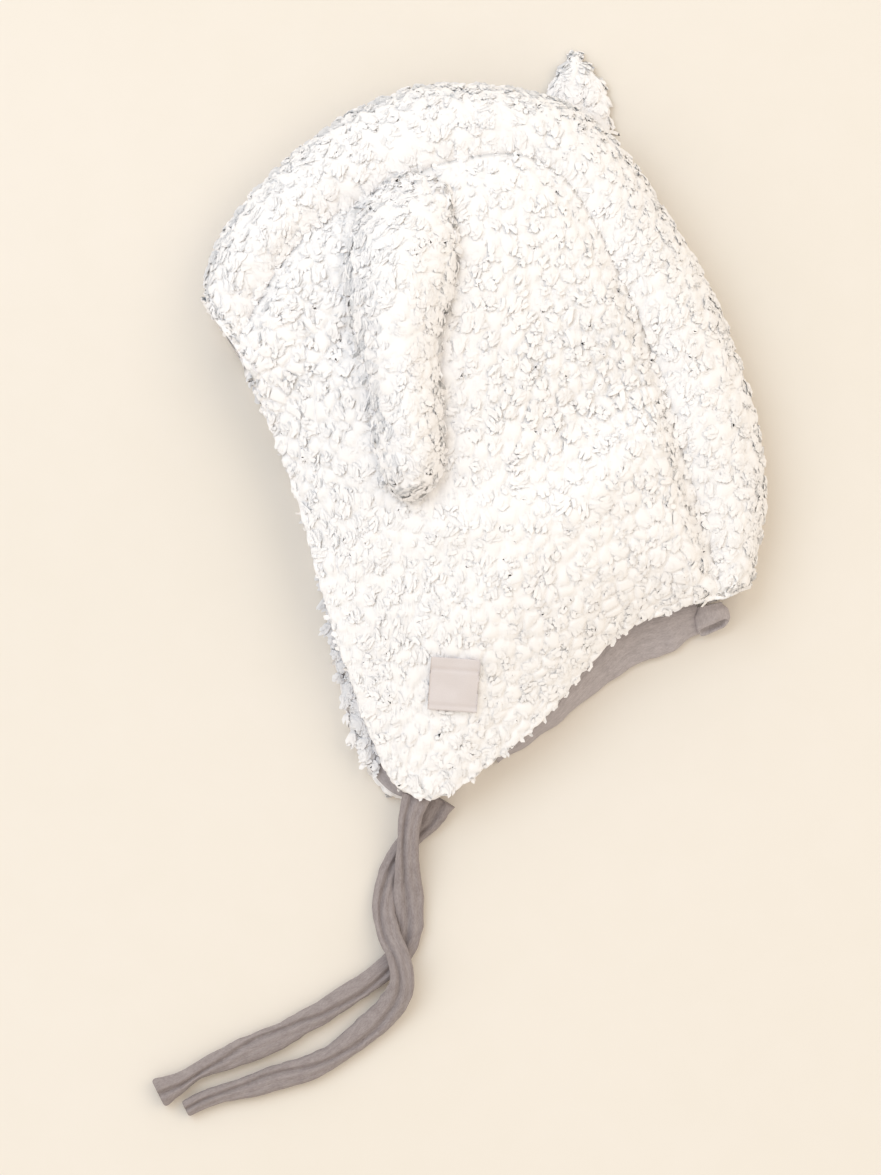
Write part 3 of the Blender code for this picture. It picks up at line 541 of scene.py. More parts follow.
def pouch(columns, near_rows, fold_rows, far_rows):
    """The hat as a grid of sections: near side, two quarters of an ellipse round the fold, flat far side.

    The near side is a straight line from seam to rim plus a bulge of a half sine. Gives the fleece's outer
    and inner surface, the lining's two surfaces, the section values and the rows of the two seams.
    """
    places = np.linspace(0.0, len(SECTIONS) - 1.0, columns)
    values = {name: table_curve(SECTIONS, SECTION_COLUMNS, name, places) for name in SECTION_COLUMNS}
    crest = plan(values["crest_x"], values["crest_y"])[:, None]
    seam = plan(values["seam_x"], values["seam_y"])[:, None]
    rim = plan(values["rim_x"], values["rim_y"])[:, None]
    depth = {key: values[key][:, None] * HAT_DEPTH for key in ("fold_z", "seam_z", "crown_z", "rim_z")}
    run = np.linalg.norm(rim - seam, axis=-1, keepdims=True)
    far_seam = seam + unit(rim - seam) * np.minimum(FAR_SEAM_SHIFT, 0.3 * run)
    far_rim = rim + (rim_outward(rim[:, 0]) * (values["far_out"] * HAT_WIDTH)[:, None])[:, None]

    u = np.linspace(1.0, 0.0, near_rows + 1)[None, :]
    bulge = depth["crown_z"] - (depth["seam_z"] + depth["rim_z"]) / 2
    near_xy = seam + (rim - seam) * u[..., None]
    near_z = depth["seam_z"] * (1 - u) + depth["rim_z"] * u + bulge * np.sin(math.pi * u) * (1.35 - 0.7 * u)
    angle = np.linspace(math.pi / 2, 0.0, fold_rows + 1)[None, 1:]
    up_xy = seam + (crest - seam) * np.cos(angle)[..., None]
    up_z = depth["fold_z"] + (depth["seam_z"] - depth["fold_z"]) * np.sin(angle)
    angle = np.linspace(0.0, math.pi / 2, fold_rows + 1)[None, 1:]
    down_xy = far_seam + (crest - far_seam) * np.cos(angle)[..., None]
    down_z = depth["fold_z"] * (1 - np.sin(angle))
    crowding = 1.0 + 0.6 * smooth_step(run[..., 0] / (4 * EAR_WIDTH))
    v = np.linspace(0.0, 1.0, far_rows + 1)[None, 1:] ** crowding
    far_xy = far_seam + (far_rim - far_seam) * v[..., None]
    far_z = np.zeros(far_xy.shape[:2])
    xy = np.concatenate([near_xy, up_xy, down_xy, far_xy], axis=1)
    z = np.concatenate([near_z, up_z, down_z, far_z], axis=1)
    base = raised(xy, z)
    rimness = np.concatenate([np.broadcast_to(u, near_z.shape), 0.0 * up_z, 0.0 * down_z, v], axis=1)

    normals = surface_normals(base)
    normals *= np.sign(normals[:, :near_rows, 2].mean())
    end = np.minimum(places, places[-1] - places)[:, None]
    at_rim = np.maximum(smooth_step((rimness - 0.75) / 0.25), 1.0 - smooth_step(end))
    wall = (FLEECE_WALL - (FLEECE_WALL - RIM_WALL) * at_rim)[..., None]
    crest_row = near_rows + fold_rows
    height = base[..., 2] / base[:, crest_row:crest_row + 1, 2]
    seam_height = height[:, near_rows:near_rows + 1]
    near_share = np.clip((height - 1.0) / (seam_height - 1.0), 0.0, 1.0)
    near_share[:, :near_rows] = 1.0
    near_share[:, crest_row:] = 0.0
    far_share = np.clip(1.0 - height, 0.0, 1.0) ** 1.5
    far_share[:, :crest_row] = 0.0
    near_shift = near_relief(base[..., :2]) * near_share ** 2
    up = np.array([0.0, 0.0, 1.0])
    shift = (near_shift + far_lift(base[..., :2], 0.0) * far_share)[..., None] * up
    lining_shift = (near_shift + far_lift(base[..., :2], EAR_WIDTH * 0.52) * far_share)[..., None] * up
    groove = np.zeros(base.shape[:2])
    far_seam_row = near_rows + 2 * fold_rows
    for row in (near_rows, far_seam_row):
        away = np.linalg.norm(base - base[:, row:row + 1], axis=-1)
        groove += GROOVE_DEPTH * np.exp(-(away / GROOVE_WIDTH) ** 2)
    groove *= smooth_step(end + 0.3)

    stand_off = wall + LINING_GAP + LINING_SLACK * (1.0 - at_rim[..., None])
    made = {
        "outer": base + shift - normals * groove[..., None],
        "inner": base + shift - normals * wall,
        "lining_outer": base + lining_shift - normals * stand_off,
        "lining_inner": base + lining_shift - normals * (stand_off + LINING_WALL),
    }
    return made, values, near_rows, far_seam_row


def grid_normals(grid, towards):
    """Unit normals of a grid, turned to the side that the given vectors point to."""
    normals = surface_normals(grid)
    return normals * np.where((normals * towards).sum() > 0, 1.0, -1.0)


def rim_roll(outer_edge, inner_edge, away, steps):
    """Rows of a half circle round a wall's edge, from its inner to its outer side, and their normals."""
    angle = np.linspace(math.pi, 0.0, steps + 2)[1:-1]
    middle = (outer_edge + inner_edge)[:, None] / 2
    half = (outer_edge - inner_edge)[:, None] / 2
    reach = np.linalg.norm(half, axis=-1, keepdims=True)
    turn = np.cos(angle)[None, :, None] * half + np.sin(angle)[None, :, None] * away[:, None] * reach
    return middle + turn, unit(turn)


def sow(grid, normals, lay, count, weight, random):
    """Random places on a grid of quads, evenly by area times weight, with their normals and their lay."""
    area = quad_areas(grid) * (weight[:-1, :-1] + weight[1:, 1:]) / 2
    total = np.cumsum(area.ravel())
    pick = np.searchsorted(total, (np.arange(count) + random.random(count)) / count * total[-1] * 0.999999)
    i, j = np.unravel_index(pick, area.shape)
    s, t = random.random((2, count, 1))
    places, directions, laid = (between(values, i, j, s, t) for values in (grid, normals, lay[..., None]))
    return places, unit(directions), laid


def along_skin(vectors, normals):
    """The share of vectors that lies square to the normals."""
    return vectors - normals * (vectors * normals).sum(axis=1, keepdims=True)


def locks(roots, normals, lay, seed, random, stand=1.0):
    """Curled locks as slim closed blades: rings of three points at three places, and a tip.

    A lock starts along its normal, bends to the middle of its tuft, leans to its tuft's own side and down
    the pile, by as much as lay says, and curls round that line. It tapers to its tip and is pressed flat
    where it meets the floor.
    """
    count = len(roots)
    way, nearest, _, home = nearest_tuft(roots, seed)
    way = along_skin(way, normals)
    own = np.stack([lattice_random(home, seed + 50 + k) for k in range(4)], axis=1)
    lean = along_skin(own[:, :3] * 2.0 - 1.0, normals)
    comb = along_skin(np.array(COMB_WAY), normals)
    side = unit(np.cross(normals, random.normal(size=(count, 3))))
    other = np.cross(normals, side)
    tall = LOCK_RISE * (0.70 + 0.35 * own[:, 3:] + 0.30 * random.random((count, 1))) * (0.6 + 0.4 * lay)
    tall *= 1.0 - 0.25 * np.clip(nearest, 0.0, 1.0)[:, None]
    steep = smooth_step(1.0 - np.abs(normals[:, 2:]) * 1.6)
    tall *= stand * (parting(roots)[:, None] + LOCK_STAND * lay * steep)
    curl = LOCK_CURL * (0.4 + 1.2 * random.random((count, 1)))
    phase = random.random((count, 1)) * 2 * math.pi
    spin = 3.0 + 3.0 * random.random((count, 1))

    def place(t):
        angle = spin * t + phase
        turn = side * (np.sin(angle) - np.sin(phase)) + other * (np.cos(angle) - np.cos(phase))
        return (roots + normals * tall * t * (1.8 - 0.8 * t) + way * LOCK_GATHER * t
                + (lean * LOCK_LEAN + comb * LOCK_COMB) * lay * t ** 2 + turn * curl * t)

    stops = (0.0, 0.42, 0.84, 1.0)
    line = np.stack([place(t) for t in stops], axis=1)
    ahead = unit(line[:, (1, 2, 3)] - line[:, (0, 0, 1)])
    facing = normals + LOCK_TURN * unit(random.normal(size=(count, 3)))
    across = unit(np.cross(ahead, facing[:, None]))
    upright = np.cross(ahead, across)
    breadth = LOCK_WIDTH * (0.7 + 0.6 * random.random((count, 1, 1))) * np.array([[[0.9], [1.0], [0.8]]])
    angle = np.arange(3) * 2 * math.pi / 3
    ring = (np.cos(angle)[None, None, :, None] * across[:, :, None]
            + LOCK_FLAT * np.sin(angle)[None, None, :, None] * upright[:, :, None]) * breadth[..., None] / 2
    rings = (line[:, :3, None] + ring).reshape(count, 9, 3)
    points = np.concatenate([rings, line[:, 3:4]], axis=1)
    points[..., 2] = np.maximum(points[..., 2], FLOOR_GAP)
    own_way = np.concatenate([unit(ring).reshape(count, 9, 3), ahead[:, 2:3]], axis=1)
    lit = unit(np.concatenate([normals[:, :2], np.maximum(normals[:, 2:], 0.45)], axis=1))
    soft = unit(lit[:, None] * (1.0 - LOCK_SHADE) + own_way * LOCK_SHADE)
    start = np.arange(count)[:, None] * 10
    tips = np.array([(6, 7, 9), (7, 8, 9), (8, 6, 9), (2, 1, 0)])
    faces = [(start[:, None] + tube_faces(3, 3)).reshape(-1, 4), (start[:, None] + tips).reshape(-1, 3)]
    return points.reshape(-1, 3), faces, soft.reshape(-1, 3)


def pressed(points):
    """Points with none lower than the floor."""
    made = points.copy()
    made[..., 2] = np.maximum(made[..., 2], FLOOR_GAP)
    return made


def backing_points(skin, normals, depth, seed):
    """The skin moved in by depth and out again by the pile's lumps."""
    rise = lump_rise(skin.reshape(-1, 3), seed).reshape(skin.shape[:2])
    return skin - normals * (depth - rise[..., None])


def pile_piece(name, skin, normals, lay, depth, count, weight, seed, stand=1.0):
    """The locks of one piece of fleece as one joined mesh. They rise stand times as high as elsewhere."""
    random = np.random.default_rng(seed)
    roots, directions, lay = sow(skin - normals * depth, normals, lay, count, weight, random)
    roots += directions * lump_rise(roots, seed)[:, None]
    points, faces, soft = locks(roots, directions, lay, seed, random, stand)
    return mesh_piece(name, points, faces, PILE, normals=soft)


def ends_turned(normals, grid, reach):
    """Normals that turn outwards over the first and last columns, so the pile hides a panel's cut ends."""
    made = normals.copy()
    for edge, inside in ((0, 1), (-1, -2)):
        away = unit(grid[edge] - grid[inside])
        length = np.linalg.norm(grid - grid[edge][None], axis=-1)
        share = np.clip(1.0 - length / reach, 0.0, 1.0)[..., None]
        made = made + away[None] * share ** 2 * 1.6
    return unit(made)


def build_fleece(shape, near_seam, far_seam):
    """Near panel, gusset and far panel: backing and pile of each, all on the pouch's one set of normals."""
    outer, inner = shape["outer"], shape["inner"]
    normals = grid_normals(outer, outer - inner)
    turned = ends_turned(normals, outer, FLEECE_WALL)

    near = slice(0, near_seam + 1)
    roll, roll_normals = rim_roll(outer[:, 0], inner[:, 0], unit(outer[:, 0] - outer[:, 1]), LIP_STEPS)
    skin, skin_normals, skin_turned = (np.concatenate([edge, rest[:, near]], axis=1) for edge, rest in (
        (roll, outer), (roll_normals, normals), (roll_normals, turned)))
    build_panel("near_panel", "side_panel_near", skin, skin_normals, skin_turned, inner[:, near], NEAR_LOCKS,
                rim=LIP_STEPS // 2)

    strip = slice(near_seam, far_seam + 1)
    build_panel("gusset", "centre_gusset", outer[:, strip], normals[:, strip], turned[:, strip],
                inner[:, strip], GUSSET_LOCKS)

    far = slice(far_seam, None)
    roll, roll_normals = rim_roll(outer[:, -1], inner[:, -1], unit(outer[:, -1] - outer[:, -2]), LIP_STEPS)
    roll, roll_normals = roll[:, ::-1], roll_normals[:, ::-1]
    skin, skin_normals, skin_turned = (np.concatenate([rest[:, far], edge], axis=1) for edge, rest in (
        (roll, outer), (roll_normals, normals), (roll_normals, turned)))
    build_panel("far_panel", "side_panel_far", skin, skin_normals, skin_turned, inner[:, far], FAR_LOCKS)
    hem = shape["lining_inner"][:, :-HEM_ROWS:-1]
    section = np.linspace(0.0, len(SECTIONS) - 1.0, len(hem))[:, None]
    weight = (1.0 - smooth_step((section - HEM_END) / 0.4)) * np.ones(hem.shape[:2])
    pile_piece("far_hem_pile", hem, -normals[:, :-HEM_ROWS:-1], weight, ROOT_DEPTH, HEM_LOCKS, weight,
               FLEECE_SEED, stand=HEM_STAND)


def label_clearing(skin):
    """0 under the middle of the label, 1 clear of it, and 1 everywhere on the lower half of the hat."""
    offset = skin[..., :2] - SHIFT[:2] - plan(*LABEL_CENTRE)
    beyond = np.maximum(np.abs(offset[..., 0]) - LABEL_WIDTH / 2, np.abs(offset[..., 1]) - LABEL_LENGTH / 2)
    return np.where(skin[..., 2] > HAT_DEPTH / 4, smooth_step(beyond / LABEL_EDGE + 0.9), 1.0)


def rim_lay(skin, rim):
    """How far locks lie down the pile: RIM_LAY at the panel's rim and cut ends, rising evenly to 1 inside."""
    away = [np.linalg.norm(skin - edge, axis=-1) for edge in (skin[:1], skin[-1:])]
    if rim is not None:
        away.append(np.linalg.norm(skin - skin[:, rim][:, None], axis=-1))
    return rising(RIM_LAY, np.min(away, axis=0) / RIM_REACH)


def build_panel(name, solid, skin, normals, turned, inner, count, rim=None):
    """One fleece panel: its backing, and its pile, which thins out where the hat lies on it.

    The backing is the lumpy skin, closed by the plain inner side of the wall.
    """
    outer = backing_points(skin, normals, PILE_DEPTH, FLEECE_SEED)
    loops = np.concatenate([outer, inner[:, ::INNER_STEP][:, ::-1]], axis=1)
    loft_piece(name + "_backing", solid, pressed(loops), FLEECE)
    weight = rising(UNDERSIDE_SHARE, (turned[..., 2] + 0.85) / 0.6) * label_clearing(skin)
    pile_piece(name + "_pile", skin, turned, rim_lay(skin, rim), PILE_DEPTH + ROOT_DEPTH, count, weight,
               FLEECE_SEED)


def nine_around(grid):
    """Each cell of a grid with its eight neighbours, as nine grids."""
    padded = np.pad(grid, 1, mode="edge")
    rows, columns = grid.shape
    return np.stack([padded[a:a + rows, b:b + columns] for a in range(3) for b in range(3)])


def height_map(surface):
    """A function that gives the near side's height over points in plan, from each cell's highest point."""
    low = surface[..., :2].min(axis=(0, 1)) - 2 * MAP_CELL
    size = np.ceil((surface[..., :2].max(axis=(0, 1)) - low) / MAP_CELL).astype(int) + 4
    heights = np.full(size, -1.0)
    index = ((surface[..., :2] - low) / MAP_CELL).astype(int).reshape(-1, 2)
    np.maximum.at(heights, (index[:, 0], index[:, 1]), surface[..., 2].ravel())
    for _ in range(40):
        around = nine_around(heights)
        known = around > -0.5
        mean = np.where(known, around, 0.0).sum(axis=0) / np.maximum(known.sum(axis=0), 1)
        heights = np.where((heights < -0.5) & known.any(axis=0), mean, heights)
    for _ in range(2):
        heights = nine_around(heights).mean(axis=0)

    def height(xy):
        place = (xy - low) / MAP_CELL - 0.5
        start = np.clip(np.floor(place).astype(int), 0, np.array(heights.shape) - 2)
        f = np.clip(place - start, 0.0, 1.0)
        return between(heights, start[..., 0], start[..., 1], f[..., 0], f[..., 1])

    return height


def ear_skin(route, breadth_name, thickness, tuck, crown, ground, rings, sides):
    """An ear's outer surface: rings across its route, flat where it lies and crowned above.

    Its edges lie tuck times its thickness high, and its top rises from there by the sine's power crown.
    """
    middle, share = ear_middle(route, rings)
    half, fullness = ear_values(share, breadth_name)
    fullness = fullness * (1.0 - ROOT_SLACK * (1.0 - smooth_step(share / ROOT_SHARE)))
    along = unit(np.gradient(middle, axis=0))
    aside = np.stack([-along[:, 1], along[:, 0]], axis=1)
    angle = round_angles(sides)
    sine = np.sin(angle)
    above = tuck + (1 - tuck) * np.abs(sine) ** crown
    rise = np.where(sine >= 0, above, tuck * (1 - np.sqrt(np.abs(sine))))
    xy = middle[:, None] + aside[:, None] * (half[:, None] * np.cos(angle))[..., None]
    z = ground(xy) + rise[None, :] * (thickness * fullness)[:, None]
    return raised(xy, z)


def build_ear(name, solid, skin, hidden, count, seed):
    """One ear: its lumpy backing, and its pile, sparse below and on the hidden share of its length."""
    skin = skin + SHIFT
    rings = len(skin)
    closed = np.concatenate([skin[:, -1:], skin, skin[:, :1]], axis=1)
    centre = skin.mean(axis=1, keepdims=True)
    normals = surface_normals(closed)[:, 1:-1]
    normals *= np.where((normals * (skin - centre)).sum() > 0, 1.0, -1.0)
    half_size = np.linalg.norm(skin - centre, axis=-1, keepdims=True)
    depth = np.minimum(PILE_DEPTH, half_size * 0.45)
    backing = pressed(backing_points(skin, normals, depth, seed))
    loft_piece(name + "_backing", solid, backing, FLEECE)
    wrap = np.concatenate([skin, skin[:, :1]], axis=1)
    wrap_normals = np.concatenate([normals, normals[:, :1]], axis=1)
    tip = unit(skin[-1].mean(axis=0) - skin[-2].mean(axis=0))
    near_tip = smooth_step((np.arange(rings) - rings + 9) / 8.0)[:, None, None]
    wrap_normals = unit(wrap_normals + tip * near_tip * 0.6)
    wrap_depth = np.concatenate([depth, depth[:, :1]], axis=1)
    weight = rising(UNDERSIDE_SHARE, (wrap_normals[..., 2] + 0.7) / 0.7)
    weight *= rising(0.05, (np.linspace(0.0, 1.0, rings)[:, None] - hidden) / 0.1 + 1.0)
    pile_piece(name + "_pile", wrap, wrap_normals, np.ones(wrap.shape[:2]), wrap_depth + ROOT_DEPTH, count,
               weight, seed)


def build_lining(shape):
    """The jersey lining: a thin wall that follows the fleece's inside, with soft creases across it."""
    outer = shape["lining_outer"][LINING_INSET:-LINING_INSET]
    inner = shape["lining_inner"][LINING_INSET:-LINING_INSET]
    stretched = inner * np.array([1.0, 0.35, 1.0])
    crease = soft_noise(stretched, CREASE_SIZE, 31) + 0.5 * soft_noise(stretched, CREASE_SIZE / 2.2, 32)
    out = unit(outer - inner)
    inner = inner + out * (crease * LINING_CREASE)[..., None]
    loops = np.concatenate([outer, inner[:, ::-1]], axis=1)
    made = loft_piece("jersey_lining", "lining", loops, LINING_JERSEY_PAINTED_LIGHT)


def build_label(height):
    """A bare cloth label lying in the pile: a thin curved sheet with two creases and lifted corners."""
    steps = 30
    side = np.linspace(-0.5, 0.5, steps + 1)
    x, y = np.meshgrid(side, side, indexing="ij")
    turn = math.radians(LABEL_TURN)
    centre = plan(*LABEL_CENTRE)
    wide, long = x * LABEL_WIDTH, y * LABEL_LENGTH
    xy = np.stack([centre[0] + wide * math.cos(turn) - long * math.sin(turn),
                   centre[1] + wide * math.sin(turn) + long * math.cos(turn)], axis=-1)
    crease = LABEL_CREASE * (np.exp(-((y - 0.27) / 0.03) ** 2) + 0.8 * np.exp(-((y + 0.41) / 0.03) ** 2))
    wave = LABEL_WAVE * soft_noise(raised(np.stack([wide, long], axis=-1), 0 * wide), WAVE_SIZE, 41)
    corner = LABEL_CORNER * (2 * np.abs(x)) ** 4 * (2 * np.abs(y)) ** 4
    top = raised(xy, height(xy) + LABEL_LIFT - crease + wave + corner) + SHIFT
    bottom = top - np.array([0.0, 0.0, LABEL_WALL])
    loops = np.concatenate([top, bottom[:, ::-1]], axis=1)
    made = loft_piece("cloth_label", "label", loops, LABEL_CLOTH)


def build_band(values):
    """The lining's turned edge along the nape: a folded strip that droops to the floor, gently puckered."""
    rim = plan(values["rim_x"], values["rim_y"])
    sections = column(BAND, BAND_COLUMNS, "section")
    rings, rows = 150, 20
    place = np.linspace(sections[0], sections[-1], rings)
    index = place * (len(rim) - 1) / (len(SECTIONS) - 1)
    centre = smooth_curve(rim, index)
    away = unit(smooth_curve(rim_outward(rim), index))
    rows_along = np.interp(place, sections, np.arange(len(sections)))
    reach = table_curve(BAND, BAND_COLUMNS, "reach", rows_along) * BAND_REACH
    across = np.array(BAND_ACROSS)
    steps = np.linspace(0.0, len(BAND_ACROSS) - 1.0, rows)
    share, rise = smooth_curve(across[:, 0], steps), smooth_curve(across[:, 1], steps) * RIM_WALL
    xy = centre[:, None] + away[:, None] * (reach[:, None] * share)[..., None]
    middle = raised(xy, rising(BAND_LOW, (place - sections[0]) / 1.5)[:, None] * rise)
    normal = surface_normals(middle)
    normal *= np.sign(normal[..., 2:3].mean())
    along = np.broadcast_to(place[:, None], middle.shape[:2])
    down = np.broadcast_to(share[None, :], middle.shape[:2])
    pucker = soft_noise(np.stack([along * 3.2, down * 0.7, 0 * down], axis=-1), 1.0, 52)
    middle = middle + normal * (pucker * BAND_PUCKER * smooth_step(down + 0.3))[..., None] + SHIFT
    half = BAND_WALL / 2 * (1.0 - 0.25 * np.cos(down * math.pi))[..., None]
    top, bottom = middle + normal * half, middle - normal * half
    lip, _ = rim_roll(top[:, -1], bottom[:, -1], unit(middle[:, -1] - middle[:, -2]), 5)
    loops = pressed(np.concatenate([top, lip[:, ::-1], bottom[:, ::-1]], axis=1))
    made = loft_piece("nape_turning", "nape_band", loops, LINING_JERSEY_PAINTED_LIGHT)


def build_roll():
    """The sleeve end at the nape corner: a flattened open tube whose wall rolls back into its hollow."""
    turn = math.radians(ROLL_DIRECTION)
    forward = np.array([math.cos(turn), math.sin(turn), -ROLL_DROOP / ROLL_LENGTH])
    aside = np.array([-math.sin(turn), math.cos(turn), 0.0])
    root = np.append(plan(*ROLL_CENTRE), ROLL_RISE) + SHIFT
    angle = round_angles(64)
    place = np.concatenate([np.linspace(0.0, 0.86, 16), 0.93 + 0.07 * np.sin(np.linspace(-1.2, 1.57, 8)),
                            np.linspace(0.97, 0.25, 14)])
    thin = ROLL_WALL * 2
    inward = np.concatenate([np.zeros(16), np.linspace(0.0, 0.5, 8), np.linspace(0.7, 1.0, 14)])
    swell = rising(0.72, place / 0.45)
    wide = (ROLL_WIDTH * swell - thin * inward) / 2
    thick = (ROLL_THICKNESS * swell - thin * inward) / 2
    ripple = 1.0 + 0.05 * np.sin(5 * angle + 1.0)[None, :] * smooth_step(place / 0.8)[:, None]
    at_mouth = smooth_step(place / 0.9)[:, None]
    slant = np.sin(angle) + np.cos(angle) * 2 / 3 + np.sin(3 * angle) / 6
    slant = slant * ROLL_SLANT * at_mouth
    below = np.clip(-np.sin(angle) - 0.1, 0.0, 1.0)[None, :]
    lip = ROLL_LIP * below * smooth_step((place - 0.72) / 0.28)[:, None]
    loops = (root + forward * (place[:, None] * ROLL_LENGTH * ROLL_SHOWN - slant)[..., None]
             + aside * (wide[:, None] * np.cos(angle) * ripple)[..., None]
             + np.array([0.0, 0.0, 1.0]) * (thick[:, None] * np.sin(angle) * ripple + lip)[..., None])
    made = loft_piece("nape_sleeve_end", "nape_roll", pressed(loops), LINING_JERSEY_PAINTED_LIGHT)


def build_tie(name, solid, route, form, seed):
    """A jersey strip folded lengthwise: an oval section with a crease that wanders along it.

    The section is breadth by height, its top is pressed in along the crease by a Gaussian, and fine
    wrinkles run across it. Its far end is rolled in on itself.
    """
    rings, sides = 300, 44
    points, share = route_points(route, rings)
    length = float(np.linalg.norm(np.diff(points, axis=0), axis=1).sum())
    steps = share * (len(form) - 1)
    breadth = table_curve(form, TIE_COLUMNS, "breadth", steps) * TIE_WIDTH
    height = table_curve(form, TIE_COLUMNS, "height", steps) * TIE_WIDTH
    crease = table_curve(form, TIE_COLUMNS, "crease", steps)
    middle = points.copy()
    middle[:, 2] = np.maximum(middle[:, 2], height / 2 + FLOOR_GAP)
    ahead = unit(np.gradient(middle, axis=0))
    aside = unit(np.cross(ahead, np.array([0.0, 0.0, 1.0])))
    upright = np.cross(aside, ahead)
    angle = round_angles(sides)
    x = np.cos(angle)[None, :] * np.ones((rings, 1))
    sine = np.sin(angle)[None, :] * np.ones((rings, 1))
    z = np.sign(sine) * np.abs(sine) ** 0.8
    above = np.clip(sine * 2.0, 0.0, 1.0)
    groove = 0.75 * np.exp(-((x - crease[:, None]) / 0.17) ** 2) * above
    groove += 0.16 * np.exp(-((x - crease[:, None] + 0.75) / 0.12) ** 2) * above
    along = np.broadcast_to((share * length)[:, None], x.shape)
    wrinkle = np.zeros(x.shape)
    for step, (size, reach, rise) in enumerate(WRINKLES):
        wrinkle += rise * soft_noise(np.stack([along, x * reach, sine * reach], axis=-1), size, seed + step)
    x = x * (1.0 + wrinkle)
    z = (z - groove) * (1.0 + wrinkle)
    loops = (middle[:, None] + aside[:, None] * (x * breadth[:, None] / 2)[..., None]
             + upright[:, None] * (z * height[:, None] / 2)[..., None])
    roll = np.array(ROLLED_END)
    end = middle[-1] + ahead[-1] * roll[:, :1]
    loops = np.concatenate([loops, end[:, None] + (loops[-1] - middle[-1]) * roll[:, 1:, None]])
    made = loft_piece(name, solid, pressed(loops), TIE_JERSEY)


def principled(name, colour, roughness, sheen):
    """A material with one Principled shader, with its tree, shader and texture coordinates."""
    made = bpy.data.materials.new(name)
    made.use_nodes = True
    tree = made.node_tree
    shader = tree.nodes["Principled BSDF"]
    for key, value in (("Base Color", colour), ("Roughness", roughness), ("Sheen Weight", sheen),
                       ("Sheen Roughness", 0.6), ("Specular IOR Level", 0.25)):
        shader.inputs[key].default_value = value
    return made, tree, shader, tree.nodes.new("ShaderNodeTexCoord").outputs


SPECKLE_SOCKETS = (
    ("Place", "INPUT", "Vector"), ("Light", "INPUT", "Color"), ("Dark", "INPUT", "Color"),
    ("Coarse", "INPUT", "Float"), ("Fine", "INPUT", "Float"), ("Fine Share", "INPUT", "Float"),
    ("Color", "OUTPUT", "Color"), ("Height", "OUTPUT", "Float"),
)


def node(tree, kind, links=(), **settings):
    """A node with settings by attribute or by input name, and links given as (input, output socket)."""
    made = tree.nodes.new(kind)
    for key, value in settings.items():
        if hasattr(made, key):
            setattr(made, key, value)
        else:
            made.inputs[key.replace("_", " ")].default_value = value
    for key, source in links:
        tree.links.new(source, made.inputs[key])
    return made


def speckle_group():
    """Two sizes of noise blended into a colour between two colours, and a height for a bump."""
    group = bpy.data.node_groups.new("speckle", "ShaderNodeTree")
    for name, in_out, kind in SPECKLE_SOCKETS:
        group.interface.new_socket(name=name, in_out=in_out, socket_type="NodeSocket" + kind)
    inward = group.nodes.new("NodeGroupInput").outputs
    result = group.nodes.new("NodeGroupOutput").inputs
    coarse = node(group, "ShaderNodeTexNoise", [("Vector", inward["Place"]), ("Scale", inward["Coarse"])])
    fine = node(group, "ShaderNodeTexNoise", [("Vector", inward["Place"]), ("Scale", inward["Fine"])])
    both = node(group, "ShaderNodeMix", [("Factor", inward["Fine Share"]), (2, coarse.outputs["Fac"]),
                                         (3, fine.outputs["Fac"])])
    ramp = node(group, "ShaderNodeMapRange", [("Value", both.outputs[0])], From_Min=0.32, From_Max=0.68)
    colour = node(group, "ShaderNodeMix", [("Factor", ramp.outputs["Result"])], data_type="RGBA")
    for source, target in ((inward["Dark"], colour.inputs[6]), (inward["Light"], colour.inputs[7]),
                           (colour.outputs[2], result["Color"]), (both.outputs[0], result["Height"])):
        group.links.new(source, target)
    return group


def place_group(tree, group, place, **values):
    """A node group placed in a material, fed with coordinates and its own values."""
    made = tree.nodes.new("ShaderNodeGroup")
    made.node_tree = group
    for key, value in values.items():
        made.inputs[key.replace("_", " ")].default_value = value
    tree.links.new(place, made.inputs["Place"])
    return made


def bump(tree, shader, height, strength, distance):
    """A bump from a height to the shader's normal."""
    made = node(tree, "ShaderNodeBump", [("Height", height)], Strength=strength, Distance=distance)
    tree.links.new(made.outputs["Normal"], shader.inputs["Normal"])


def speckled(name, place, light, dark, roughness, sheen=0.0, **sizes):
    """A matt material in speckles of two colours, with its tree, shader and the speckles' height."""
    made, tree, shader, coords = principled(name, light, roughness, sheen)
    speckle = place_group(tree, SPECKLE, coords[place], Light=light, Dark=dark, **sizes)
    tree.links.new(speckle.outputs["Color"], shader.inputs["Base Color"])
    return made, tree, shader, speckle.outputs["Height"]


def fleece_material(name, light, dark):
    """White teddy fleece: soft mottling, a bump of fine fibres, and a sheen."""
    made, tree, shader, height = speckled(name, "Object", light, dark, 0.95, sheen=0.30, Coarse=45.0,
                                          Fine=1500.0, Fine_Share=0.35)
    bump(tree, shader, height, 0.35, 0.0004)
    return made


def jersey_material(name, light, dark):
    """Grey melange jersey: streaks of light and dark yarn along the cloth, over rows of small stitches."""
    made, tree, shader, coords = principled(name, light, 0.9, 0.1)
    stretch = node(tree, "ShaderNodeMapping", [("Vector", coords["UV"])], Scale=(0.35, 1.0, 1.0))
    speckle = place_group(tree, SPECKLE, stretch.outputs["Vector"], Light=light, Dark=dark, Coarse=650.0,
                          Fine=2600.0, Fine_Share=0.5)
    tree.links.new(speckle.outputs["Color"], shader.inputs["Base Color"])
    stitches = node(tree, "ShaderNodeTexWave", [("Vector", coords["UV"])], bands_direction="Y",
                    Scale=300.0, Distortion=1.5, Detail_Scale=2.0)
    mix = node(tree, "ShaderNodeMix", [(2, stitches.outputs["Fac"]), (3, speckle.outputs["Height"])],
               Factor=0.5)
    bump(tree, shader, mix.outputs[0], 0.35, 0.0003)
    return made


